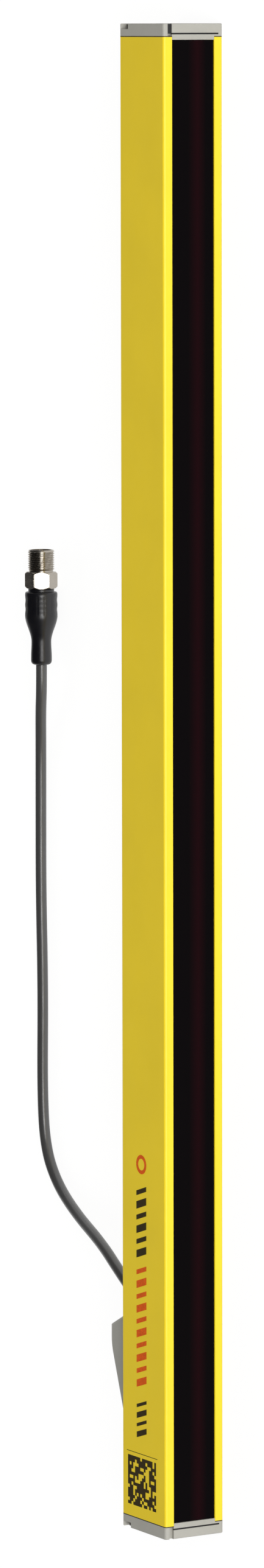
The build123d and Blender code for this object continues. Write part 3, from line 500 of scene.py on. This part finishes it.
def clear_plastic():
    """Clear moulding of the lenses and the light guide."""
    colour = (0.86, 0.9, 0.92)
    material = moulded("clear_plastic", colour, roughness=0.12, grain=1.0, relief=0.005, spread=0.02)
    material.node_tree.nodes["Principled BSDF"].inputs["Transmission Weight"].default_value = 0.85
    return material


def ink(name, colour):
    """Screen-printed ink: nearly flat, with a fine mottle where it is thin."""
    sheet = Sheet(name, roughness=0.55, specular=0.2)
    thin = sheet.ranged(sheet.noise(0.8 * MM, detail=3.0), 0.0, 1.0, start=0.35, end=0.75)
    sheet.colour(sheet.tinted(thin, colour, shaded(colour, 1.35)))
    sheet.bump(sheet.noise(0.5 * MM), 0.008 * MM)
    return sheet.material


FINISHES = (
    yellow_powder_coat,
    dark_window,
    black_rubber,
    grey_diecast,
    steel,
    cream_plastic,
    green_board,
    black_plastic,
    milky_lens,
    clear_plastic,
    grey_plastic,
    grey_sheath,
    black_overmould,
    gold_contact,
    nickel_plate,
)


def finish(slot):
    """The finish that the material slot's solids get, made on first use."""
    name = "finish_" + slot
    if name not in bpy.data.materials:
        made = {maker.__name__: maker for maker in FINISHES}[slot]()
        made.name = name
    return bpy.data.materials[name]


def smoothed(mesh, crease=math.radians(32)):
    """Smooth shading that keeps edges sharper than the crease."""
    shape = bmesh.new()
    shape.from_mesh(mesh)
    bmesh.ops.remove_doubles(shape, verts=shape.verts, dist=1e-7)
    bmesh.ops.recalc_face_normals(shape, faces=shape.faces)
    for face in shape.faces:
        face.smooth = True
    for edge in shape.edges:
        edge.smooth = edge.calc_face_angle(0.0) < crease
    shape.to_mesh(mesh)
    shape.free()


def meshed(shape, name):
    """The shape as a mesh, with its faces turned outwards."""
    bmesh.ops.recalc_face_normals(shape, faces=shape.faces)
    mesh = bpy.data.meshes.new(name)
    shape.to_mesh(mesh)
    shape.free()
    return mesh


def skinned(shape, rings):
    """Adds a closed solid to the shape: rings of points joined side by side, and a face at each end."""
    rows = [[shape.verts.new(point) for point in ring] for ring in rings]
    count = len(rows[0])
    for first, second in zip(rows, rows[1:]):
        for index in range(count):
            beside = (index + 1) % count
            shape.faces.new((first[index], first[beside], second[beside], second[index]))
    shape.faces.new(rows[0])
    shape.faces.new(rows[-1])


def added(name, data, material, body):
    """Puts the piece in the scene with its material, riding on its body."""
    piece = bpy.data.objects.new(name, data)
    bpy.context.scene.collection.objects.link(piece)
    data.materials.append(material)
    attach(piece, body)
    return piece


def turned(name, outline, columns, place, radius_at=None, closed=False):
    """A mesh turned about the x axis and then put in its place.

    The outline holds (x, radius) points. radius_at(x, radius, angle) may reshape each one.
    A closed outline ends where it starts, as a ring's section does.
    """
    rows = len(outline)
    points = []
    for x, radius in outline:
        for column in range(columns):
            angle = math.tau * column / columns
            reach = radius_at(x, radius, angle) if radius_at else radius
            points.append(place @ Vector((x, reach * math.cos(angle), reach * math.sin(angle))))
    faces = []
    for row in range(rows if closed else rows - 1):
        first, second = row * columns, (row + 1) % rows * columns
        for column in range(columns):
            beside = (column + 1) % columns
            faces.append((first + column, first + beside, second + beside, second + column))
    mesh = bpy.data.meshes.new(name)
    mesh.from_pydata(points, [], faces)
    smoothed(mesh)
    return mesh


def rounded(corners, steps=5):
    """An outline with arcs at its corners, each given as (x, radius, size of its arc or 0)."""
    outline = []
    for index, (x, radius, size) in enumerate(corners):
        corner = Vector((x, radius))
        if size == 0:
            outline.append((x, radius))
            continue
        before = Vector(corners[index - 1][:2]) - corner
        after = Vector(corners[index + 1][:2]) - corner
        start = corner + before.normalized() * size
        end = corner + after.normalized() * size
        for step in range(steps + 1):
            share = step / steps
            point = start * (1 - share) ** 2 + corner * 2 * share * (1 - share) + end * share**2
            outline.append(tuple(point))
    return outline


def stations(start, end, count):
    """Evenly spread places from start to end, both included."""
    return [start + (end - start) * index / (count - 1) for index in range(count)]


def eased(share):
    """0 to 1 with a soft start and end."""
    share = min(1.0, max(0.0, share))
    return share * share * (3 - 2 * share)


def grip_outline(plug):
    """Rear end, flared sleeve, taper, ringed grip, shoulder and neck of the overmoulded plug."""
    start, end = plug_low.x, plug_high.x
    rim_radius, rim_arc = plug.sleeve_radius + RIM_STEP, 2.2 * MM
    outline = rounded([(start, 0.0, 0), (start, rim_radius, rim_arc), (RIM_END, rim_radius, 0)], steps=9)
    for x in stations(RIM_END, SLEEVE_END, 10)[1:]:
        flare = 1 - eased((x - RIM_END) / (SLEEVE_END - RIM_END))
        outline.append((x, plug.sleeve_radius + RIM_STEP * flare))
    for x in stations(SLEEVE_END, GRIP_START, 26)[1:]:
        share = (x - SLEEVE_END) / (GRIP_START - SLEEVE_END)
        outline.append((x, plug.sleeve_radius + (GRIP_RADIUS - plug.sleeve_radius) * eased(share)))
    for x in stations(GRIP_START, SHOULDER - SHOULDER_ROUNDING, 36)[1:]:
        outline.append((x, GRIP_RADIUS - ring_waist(x - GRIP_START, plug.ring_depth)))
    last = outline[-1][1]
    outline += rounded(
        [
            (SHOULDER - SHOULDER_ROUNDING, last, 0),
            (SHOULDER, last - 0.15 * MM, 0.8 * MM),
            (SHOULDER, NECK_RADIUS, 0.25 * MM),
            (end, NECK_RADIUS, 0.2 * MM),
            (end, 0.0, 0),
        ]
    )[1:]
    return outline


def ring_waist(distance, depth):
    """How far the grip draws in between its three soft rings, at that distance from its start."""
    return depth * (0.5 - 0.5 * math.cos(math.tau * (distance - RING_OFFSET) / RING_SPACING))


def fluted(plug):
    """Shapes the plug's grip with shallow finger flutes that fade out at both ends."""
    fade = 1.6 * MM
    flutes_end = SHOULDER - fade / 2
    first = math.radians(7.6)

    def radius_at(x, radius, angle):
        along = eased((x - FLUTES_START) / fade) * eased((flutes_end - x) / fade)
        across = max(0.0, math.cos(plug.flute_count * (angle - first))) ** 2
        return radius - plug.flute_depth * along * across

    return radius_at


def nut_outline(plug):
    """Collar, threaded barrel, bore and lip of the coupling nut, as one closed section."""
    start, end = nut_low.x, nut_high.x
    collar_end = start + plug.collar_length
    chamfer = COLLAR_CHAMFER
    slope_start = collar_end - chamfer
    root = plug.thread_radius - plug.thread_depth
    outline = [(start, plug.lip_radius)]
    outline += [(x, NUT_CORNER - chamfer + (x - start)) for x in stations(start, start + chamfer, 7)]
    outline += [(x, NUT_CORNER) for x in stations(start + chamfer, slope_start, 5)[1:]]
    outline += [(x, NUT_CORNER - (x - slope_start)) for x in stations(slope_start, collar_end, 7)[1:]]
    outline.append((collar_end, root))
    thread_start, thread_end = collar_end + THREAD_GAP, end - THREAD_CHAMFER
    rows = round((thread_end - thread_start) / plug.thread_pitch * ROWS_PER_TURN)
    outline += [(x, plug.thread_radius) for x in stations(thread_start, thread_end, rows)]
    outer_step, bore_chamfer = 0.5 * MM, 0.2 * MM
    outline += [(end, plug.thread_radius - outer_step), (end, plug.bore_radius + bore_chamfer)]
    outline += [(end - bore_chamfer, plug.bore_radius), (start + plug.lip_length, plug.bore_radius)]
    outline.append((start + plug.lip_length, plug.lip_radius))
    return outline


def nut_shape(plug):
    """Cuts the nut's turned outline to a hexagon on the collar and to a helix on the barrel."""
    collar_end = nut_low.x + plug.collar_length
    thread_start, thread_end = collar_end + THREAD_GAP, nut_high.x - THREAD_CHAMFER
    flat = NUT_CORNER * math.cos(math.pi / 6)
    soft_corner = NUT_CORNER + 0.1 * MM

    def radius_at(x, radius, angle):
        if x <= collar_end + HAIR and radius > plug.thread_radius + HAIR:
            beside = (angle + math.pi / 6) % (math.pi / 3) - math.pi / 6
            hexagon = flat / math.cos(math.pi / 6 - abs(beside))
            softened = 1 + (hexagon / soft_corner) ** CORNER_SHARPNESS
            return min(radius, hexagon * softened ** (-1 / CORNER_SHARPNESS))
        if abs(radius - plug.thread_radius) < HAIR and x > collar_end:
            from_root = abs((x / plug.thread_pitch - angle / math.tau) % 1.0 - 0.5)
            groove = min(1.0, max(0.0, THREAD_FULLNESS - THREAD_STEEPNESS * from_root))
            run_in = eased((x - thread_start) / THREAD_RUN_IN)
            run_out = 0.5 + 0.5 * eased((thread_end - x) / THREAD_RUN_OUT)
            return radius - plug.thread_depth * max(1 - run_in, groove * run_out)
        return radius

    return radius_at


def grommet_outline(lead):
    """Flange and ringed, tapering sleeve of the grommet, as one closed section along its own axis."""
    bore = lead.diameter / 2
    length = lead.sleeve_length
    flange_face = -0.05 * MM
    corners = [
        (-lead.flange_depth, bore, 0),
        (-lead.flange_depth, lead.flange_radius, 0.2 * MM),
        (flange_face, lead.flange_radius, 0.25 * MM),
        (flange_face, lead.sleeve_root, 0.15 * MM),
    ]
    ring_count = 3
    groove = 0.35 * MM
    mouth, floor = 0.35 * MM, 0.25 * MM
    for ring in range(1, ring_count):
        share = ring / ring_count
        radius = lead.sleeve_root + (lead.sleeve_tip - lead.sleeve_root) * share
        middle = length * share
        corners += [
            (middle - mouth, radius, 0.15 * MM),
            (middle - floor, radius - groove, 0.1 * MM),
            (middle + floor, radius - groove, 0.1 * MM),
            (middle + mouth, radius, 0.15 * MM),
        ]
    corners += [(length, lead.sleeve_tip, 0.3 * MM), (length, bore, 0)]
    return rounded(corners, steps=3)


def lead_line(lead):
    """Points close together along the middle of the lead, from the outlet to the plug."""
    bare = lead.data.copy()
    bare.bevel_depth = 0
    holder = bpy.data.objects.new("lead_line", bare)
    mesh = bpy.data.meshes.new_from_object(holder)
    points = [vertex.co.copy() for vertex in mesh.vertices]
    bpy.data.objects.remove(holder)
    bpy.data.curves.remove(bare)
    bpy.data.meshes.remove(mesh)
    return points


def point_along(points, distance):
    """The place that far along the points."""
    for start, end in zip(points, points[1:]):
        step = (end - start).length
        if distance <= step:
            return start.lerp(end, distance / step)
        distance -= step
    return points[-1]


def bent_along(mesh, points, start):
    """Bends a mesh made along the x axis to follow the points, with its x of 0 that far along them."""
    reach = 0.5 * MM
    for vertex in mesh.vertices:
        distance = start + vertex.co.x
        middle = point_along(points, distance)
        ahead = point_along(points, distance + reach) - point_along(points, distance - reach)
        side = Vector((0, 0, 1)).cross(ahead).normalized()
        over = ahead.cross(side).normalized()
        vertex.co = middle + side * vertex.co.y + over * vertex.co.z


def crowned_bar(shape, low, high, crown):
    """A bar whose front face, the one at the lowest y, is rounded across its narrow side."""
    along = 0 if high.x - low.x > high.z - low.z else 2
    across = 2 - along
    steps = 6
    section = [(low[across], high.y), (high[across], high.y)]
    for step in range(steps + 1):
        share = 1 - step / steps
        place = low[across] + (high[across] - low[across]) * share
        section.append((place, low.y + crown * (2 * share - 1) ** 2))
    rings = []
    for stop in (low[along], high[along]):
        ring = [Vector((0, depth, 0)) for _, depth in section]
        for corner, (place, _) in zip(ring, section):
            corner[along] = stop
            corner[across] = place
        rings.append(ring)
    skinned(shape, rings)


def joint_outline(seals, above):
    """Points of half the section's outline, from the slot's edge round to the window's opening."""
    middle = (bar_low.z + bar_high.z) / 2
    corner = seals.corner_radius
    back, front = bar_high.y, bar_low.y
    half = (bar_high.z - bar_low.z) / 2
    outline = [(back, seals.slot_mouth / 2)]
    for centre_y, turn in ((back - corner, 0), (front + corner, 90)):
        for step in range(7):
            angle = math.radians(turn + 15 * step)
            y, z = corner * math.cos(angle), corner * math.sin(angle)
            outline.append((centre_y + y, half - corner + z))
    outline.append((front, half - seals.front_margin))
    return [(y, middle + (z if above else -z)) for y, z in outline]


def joint_strip(shape, outline, joint, seals):
    """A thin strip along the outline, across the joint and a hair proud of it."""
    middle = Vector(((bar_low.y + bar_high.y) / 2, (bar_low.z + bar_high.z) / 2))
    half = seals.joint_width / 2
    rings = []
    for index, place in enumerate(outline):
        point = Vector(place)
        before = Vector(outline[max(index - 1, 0)])
        after = Vector(outline[min(index + 1, len(outline) - 1)])
        along = (after - before).normalized()
        outward = Vector((along.y, -along.x))
        if outward.dot(point - middle) < 0:
            outward = -outward
        outer = point + outward * seals.proud
        inner = point - outward * seals.depth
        sides = ((-half, outer), (half, outer), (half, inner), (-half, inner))
        rings.append([(joint + shift, edge.x, edge.y) for shift, edge in sides])
    skinned(shape, rings)


def cap_rubber_and_shade(name, side, seals, shade_notch):
    """Rubber edge at one cap's joint; black cord in its groove and, if asked, plug in its notch, as
    painted shade.
    """
    shape = bmesh.new()
    housing_end = bar_high.x
    cap_end = cad_high.x
    groove_end = cap_end - seals.groove_from_end
    notch_start, notch_end = housing_end + 1.2 * MM, cap_end - 0.2 * MM
    shade_cord_recess, shade_cord_crown, shade_plug_crown = 0.2 * MM, 0.15 * MM, 0.3 * MM
    front = bar_low.y
    opening_low = bar_low.z + seals.front_margin / 2
    opening_high = bar_high.z - seals.front_margin
    for above in (True, False):
        joint_strip(shape, joint_outline(seals, above), housing_end, seals)
    # Painted shade: a black cord that darkens the front groove as its shadow would
    crowned_bar(
        shape,
        Vector((groove_end - seals.groove_width, front + shade_cord_recess, opening_low)),
        Vector((groove_end, front + seals.groove_depth, opening_high)),
        shade_cord_crown,
    )
    # Painted shade: a black plug that darkens the notch where its floor lies in shadow
    if shade_notch:
        crowned_bar(
            shape,
            Vector((notch_start, front + shade_plug_crown, opening_high)),
            Vector((notch_end, front + seals.notch_depth, opening_high + seals.notch_width)),
            shade_plug_crown,
        )
    for corner in shape.verts:
        corner.co.x *= side
    mesh = meshed(shape, name)
    smoothed(mesh)
    # The rubber finish serves both the real joint edges and the black pieces of painted shade
    return added(name, mesh, finish("black_rubber"), BAR)


def slanted_bars(marks, span, count, widths):
    """Corners of slanted bars that stand in a row along the span, across the print's column."""
    low, high = marks.column_low, marks.column_high
    slant = 0.16 * (high - low)
    start, end = span
    pitch = (end - start) / count
    bars = []
    for index in range(count):
        middle = start + pitch * (index + 0.5)
        half = pitch * widths[index % len(widths)] / 2
        edges = (middle - half, middle + half)
        bars.append([(x + slant, low) for x in edges] + [(x - slant, high) for x in reversed(edges)])
    return bars


def ring_segments(centre, outer, inner, count):
    """Corners of the short pieces that make up a flat ring."""
    pieces = []
    for index in range(count):
        first, last = math.tau * index / count, math.tau * (index + 1) / count
        pieces.append(
            [
                (centre[0] + radius * math.cos(angle), centre[1] + radius * math.sin(angle))
                for radius, angle in ((outer, first), (outer, last), (inner, last), (inner, first))
            ]
        )
    return pieces


def rectangle(left, right, low, high):
    """Corners of a rectangle, by its ends along the bar and its edges across it."""
    return [(left, low), (right, low), (right, high), (left, high)]


def block_runs(marks):
    """Filled stretches of a seeded pattern of square cells."""
    draw = random.Random(marks.seed)
    filled_share = 0.63
    runs = []
    (left, right), (low, high) = BLOCK_ALONG, BLOCK_ACROSS
    columns, rows = round((right - left) / marks.cell), round((high - low) / marks.cell)
    length, width = (right - left) / columns, (high - low) / rows
    for row in range(rows):
        filled = [draw.random() < filled_share for _ in range(columns)] + [False]
        edge = low + row * width
        start = None
        for column, cell in enumerate(filled):
            if cell and start is None:
                start = column
            if not cell and start is not None:
                first, last = left + start * length, left + column * length
                runs.append(rectangle(first, last, edge, edge + width))
                start = None
    return runs


def ink_piece(name, outlines, material, height):
    """One piece of ink from many flat outlines, as far above the bar's upper side as below it."""
    shape = bmesh.new()
    for corners in outlines:
        skinned(shape, [[(x, y, bar_high.z + lift) for x, y in corners] for lift in (height, -height)])
    return added(name, meshed(shape, name), material, BAR)


class CURTAIN_OT_build_stage(bpy.types.Operator):
    """Set up the camera, the lamps, the world and the floor"""

    bl_idname = "curtain.build_stage"
    bl_label = "Build Stage"

    def execute(self, context):
        stage = settings("stage")
        place_camera(context.scene, stage)
        place_lamps(context.scene, stage)
        light_world(context.scene, stage)
        lay_floor(context.scene, stage)
        context.scene.view_settings.view_transform = "Standard"
        return {"FINISHED"}


def place_camera(scene, stage):
    """The photograph's camera: it looks down on the lying bar and is rolled so that +X is up."""
    data = bpy.data.cameras.new("photo_camera")
    data.sensor_width = 36.0
    data.lens = stage.lens
    data.clip_start = 0.1
    data.clip_end = 200.0
    camera = bpy.data.objects.new("photo_camera", data)
    right = Vector((-0.00188521, -0.51532909, -0.8569903))
    up = Vector((0.99397126, 0.09298204, -0.0580989))
    back = Vector((0.10962476, -0.85193325, 0.51204702))
    place = Vector((0.3377768, -2.6121547, 1.6054138))
    camera.matrix_world = Matrix.Translation(place) @ Matrix((right, up, back)).transposed().to_4x4()
    scene.collection.objects.link(camera)
    scene.camera = camera


def place_lamps(scene, stage):
    """Large soft lamps: the key, partly as a smaller lamp that shows in gloss, and the fill behind."""
    shine = stage.key_power * stage.key_shine
    lamps = (
        ("key_lamp", stage.key_power - shine, (0.5, -2.3, 1.2), (2.6, 1.6), False),
        ("key_shine_lamp", shine, (-0.1, -2.4, 0.84), (1.1, 1.6), True),
        ("fill_lamp", stage.fill_power, (-0.4, 2.4, 0.9), (2.4, 1.2), False),
    )
    for name, power, place, size, mirrored in lamps:
        data = bpy.data.lights.new(name, "AREA")
        data.shape = "RECTANGLE"
        data.size, data.size_y = size
        data.energy = power
        lamp = bpy.data.objects.new(name, data)
        lamp.location = place
        lamp.visible_glossy = mirrored
        lamp.rotation_mode = "QUATERNION"
        lamp.rotation_quaternion = (-Vector(place)).to_track_quat("-Z", "Y")
        scene.collection.objects.link(lamp)


def light_world(scene, stage):
    """Even light for the object, and a backdrop for what looks or mirrors: white below, dark above."""
    world = bpy.data.worlds.new("studio")
    scene.world = world
    world.use_nodes = True
    tree = world.node_tree
    ambient = tree.nodes["Background"]
    ambient.inputs["Color"].default_value = (1.0, 0.99, 0.97, 1)
    ambient.inputs["Strength"].default_value = stage.ambient
    backdrop = tree.nodes.new("ShaderNodeBackground")
    place = tree.nodes.new("ShaderNodeTexCoord")
    axes = tree.nodes.new("ShaderNodeSeparateXYZ")
    tree.links.new(place.outputs["Generated"], axes.inputs["Vector"])
    heights = ((0.14, 1), (0.38, 0.09), (0.9, 0.02))
    tree.links.new(ramped(tree, axes.outputs["Z"], heights), backdrop.inputs["Color"])
    mix = tree.nodes.new("ShaderNodeMixShader")
    tree.links.new(seen_directly(tree), mix.inputs["Fac"])
    tree.links.new(ambient.outputs["Background"], mix.inputs[1])
    tree.links.new(backdrop.outputs["Background"], mix.inputs[2])
    tree.links.new(mix.outputs["Shader"], tree.nodes["World Output"].inputs["Surface"])


def seen_directly(tree):
    """1 for rays that come from the camera, a mirror or glass, and 0 for the ones that light things."""
    path = tree.nodes.new("ShaderNodeLightPath")
    value = path.outputs["Is Camera Ray"]
    for name in ("Is Glossy Ray", "Is Transmission Ray"):
        either = tree.nodes.new("ShaderNodeMath")
        either.operation = "MAXIMUM"
        tree.links.new(value, either.inputs[0])
        tree.links.new(path.outputs[name], either.inputs[1])
        value = either.outputs["Value"]
    return value


def lay_floor(scene, stage):
    """A plain pale floor that shows as white and keeps the object's shadow."""
    reach = 60.0
    shape = bmesh.new()
    bmesh.ops.create_grid(shape, x_segments=4, y_segments=4, size=reach)
    mesh = bpy.data.meshes.new("floor")
    shape.to_mesh(mesh)
    shape.free()
    material = bpy.data.materials.new("pale_floor")
    material.use_nodes = True
    tree = material.node_tree
    tree.nodes.remove(tree.nodes["Principled BSDF"])
    paint = tree.nodes.new("ShaderNodeBsdfDiffuse")
    paint.inputs["Color"].default_value = (0.85, 0.85, 0.84, 1)
    glow = tree.nodes.new("ShaderNodeEmission")
    glow.inputs["Strength"].default_value = 1.1
    share = tree.nodes.new("ShaderNodeMath")
    share.operation = "MULTIPLY"
    share.inputs[1].default_value = stage.floor_glow
    tree.links.new(seen_directly(tree), share.inputs[0])
    mix = tree.nodes.new("ShaderNodeMixShader")
    tree.links.new(share.outputs["Value"], mix.inputs["Fac"])
    tree.links.new(paint.outputs["BSDF"], mix.inputs[1])
    tree.links.new(glow.outputs["Emission"], mix.inputs[2])
    tree.links.new(mix.outputs["Shader"], tree.nodes["Material Output"].inputs["Surface"])
    mesh.materials.append(material)
    floor = bpy.data.objects.new("floor", mesh)
    scene.collection.objects.link(floor)


class CURTAIN_OT_shape_plug(bpy.types.Operator):
    """Shape the overmoulded plug body with its ringed and fluted grip"""

    bl_idname = "curtain.shape_plug"
    bl_label = "Shape Plug"

    def execute(self, context):
        plug = settings("plug")
        mesh = turned(
            "plug_overmould",
            grip_outline(plug),
            columns=plug.flute_count * 12,
            place=Matrix.Translation(PLUG_AXIS),
            radius_at=fluted(plug),
        )
        piece = added("plug_overmould", mesh, finish("black_overmould"), BAR)
        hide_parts("plug_body")
        return {"FINISHED"}


class CURTAIN_OT_shape_nut(bpy.types.Operator):
    """Shape the coupling nut with its hexagon collar and cut thread"""

    bl_idname = "curtain.shape_nut"
    bl_label = "Shape Nut"

    def execute(self, context):
        plug = settings("plug")
        mesh = turned(
            "plug_nut",
            nut_outline(plug),
            columns=144,
            place=Matrix.Translation(PLUG_AXIS),
            radius_at=nut_shape(plug),
            closed=True,
        )
        piece = added("plug_nut", mesh, finish("nickel_plate"), NUT)
        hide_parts("coupling_nut")
        return {"FINISHED"}


class CURTAIN_OT_lay_lead(bpy.types.Operator):
    """Lay the lead along its route, from the outlet to the plug"""

    bl_idname = "curtain.lay_lead"
    bl_label = "Lay Lead"

    def execute(self, context):
        curve = bpy.data.curves.new("lead", "CURVE")
        curve.dimensions = "3D"
        curve.bevel_depth = settings("lead").diameter / 2
        curve.bevel_resolution = 8
        curve.resolution_u = 24
        curve.use_fill_caps = True
        spline = curve.splines.new("NURBS")
        spline.points.add(len(LEAD_ROUTE) - 1)
        for point, place in zip(spline.points, LEAD_ROUTE):
            point.co = (*place, 1)
        spline.order_u = 3
        spline.use_endpoint_u = True
        piece = added("lead", curve, finish("grey_sheath"), BAR)
        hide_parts("cable")
        return {"FINISHED"}


class CURTAIN_OT_fit_lead(bpy.types.Operator):
    """Fit the grommet round the lead at the outlet"""

    bl_idname = "curtain.fit_lead"
    bl_label = "Fit Lead"

    def execute(self, context):
        for name in ("lead", "plug_overmould", "plug_nut"):
            if name not in bpy.data.objects:
                raise RuntimeError(f"{name} is missing: the lead is fitted after its pieces are shaped")
        lead = settings("lead")
        piece = bpy.data.objects["lead"]
        line = lead_line(piece)
        mesh = turned("lead_grommet", grommet_outline(lead), columns=64, place=Matrix(), closed=True)
        bent_along(mesh, line, (OUTLET_EXIT - line[0]).length)
        grommet = added("lead_grommet", mesh, finish("black_rubber"), BAR)
        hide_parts("cable_grommet")
        return {"FINISHED"}


class CURTAIN_OT_seal_and_shade_caps(bpy.types.Operator):
    """Show the rubber joint edges at both end caps, and painted shade: black groove cords and a black
    plug in the upper notch
    """

    bl_idname = "curtain.seal_caps"
    bl_label = "Seal and Shade Caps"

    def execute(self, context):
        # Painted shade in both grooves; only the upper cap, whose notch lies in shadow, gets the notch's
        # black plug
        cap_rubber_and_shade("upper_cap_rubber_and_shade", 1, settings("seals"), shade_notch=True)
        cap_rubber_and_shade("lower_cap_rubber_and_shade", -1, settings("seals"), shade_notch=False)
        return {"FINISHED"}


class CURTAIN_OT_finish_parts(bpy.types.Operator):
    """Give every solid of the bar and the plug its finish"""

    bl_idname = "curtain.finish_parts"
    bl_label = "Finish Parts"

    def execute(self, context):
        for part in frame["record"]["subparts"]:
            node = frame["nodes"][part["node"]]
            for place in node.material_slots:
                place.material = finish(part["material_slot"])
        return {"FINISHED"}


class CURTAIN_OT_print_marks(bpy.types.Operator):
    """Print plain bars, a ring, a line and a block pattern on the bar's upper side"""

    bl_idname = "curtain.print_marks"
    bl_label = "Print Marks"

    def execute(self, context):
        marks = settings("print")
        middle = (marks.column_low + marks.column_high) / 2
        black = slanted_bars(marks, BLACK_BARS, count=6, widths=(0.62, 0.4))
        black += slanted_bars(marks, SHORT_BARS, count=4, widths=(0.6, 0.35))
        black.append(rectangle(*LINE_ALONG, *LINE_ACROSS))
        black += block_runs(marks)
        red = slanted_bars(marks, RED_BARS, count=10, widths=(0.6, 0.38))
        red += ring_segments((RING_PLACE, middle), RING_OUTER, RING_INNER, count=48)
        ink_piece("print_black", black, ink("black_ink", tuple(marks.black)), marks.ink_height)
        ink_piece("print_red", red, ink("red_ink", tuple(marks.red)), marks.ink_height)
        return {"FINISHED"}


class CURTAIN_PT_sidebar(bpy.types.Panel):
    """Lists the steps that dress the light curtain, each with its sizes and colours"""

    bl_idname = "CURTAIN_PT_sidebar"
    bl_label = "Light Curtain"
    bl_space_type = "VIEW_3D"
    bl_region_type = "UI"
    bl_category = "Light Curtain"

    def draw(self, context):
        for attribute, _, operators in GROUPS:
            box = self.layout.box()
            group = getattr(context.scene, attribute)
            for name in group.__annotations__:
                box.prop(group, name)
            for operator in operators:
                box.operator(operator.bl_idname)


GROUPS = (
    ("curtain_stage", StageSettings, (CURTAIN_OT_build_stage,)),
    ("curtain_lead", LeadSettings, (CURTAIN_OT_lay_lead, CURTAIN_OT_fit_lead)),
    ("curtain_plug", PlugSettings, (CURTAIN_OT_shape_plug, CURTAIN_OT_shape_nut)),
    ("curtain_seals", SealSettings, (CURTAIN_OT_seal_and_shade_caps,)),
    ("curtain_finish", FinishSettings, (CURTAIN_OT_finish_parts,)),
    ("curtain_print", PrintSettings, (CURTAIN_OT_print_marks,)),
)


def register():
    for attribute, group, operators in GROUPS:
        bpy.utils.register_class(group)
        setattr(bpy.types.Scene, attribute, PointerProperty(type=group))
        for operator in operators:
            bpy.utils.register_class(operator)
    bpy.utils.register_class(CURTAIN_PT_sidebar)


def unregister():
    bpy.utils.unregister_class(CURTAIN_PT_sidebar)
    for attribute, group, operators in reversed(GROUPS):
        for operator in reversed(operators):
            bpy.utils.unregister_class(operator)
        delattr(bpy.types.Scene, attribute)
        bpy.utils.unregister_class(group)


def main():
    register()
    bpy.ops.curtain.build_stage()
    bpy.ops.curtain.lay_lead()
    bpy.ops.curtain.shape_plug()
    bpy.ops.curtain.shape_nut()
    bpy.ops.curtain.fit_lead()
    bpy.ops.curtain.seal_caps()
    bpy.ops.curtain.finish_parts()
    bpy.ops.curtain.print_marks()


if __name__ == "__main__":
    main()
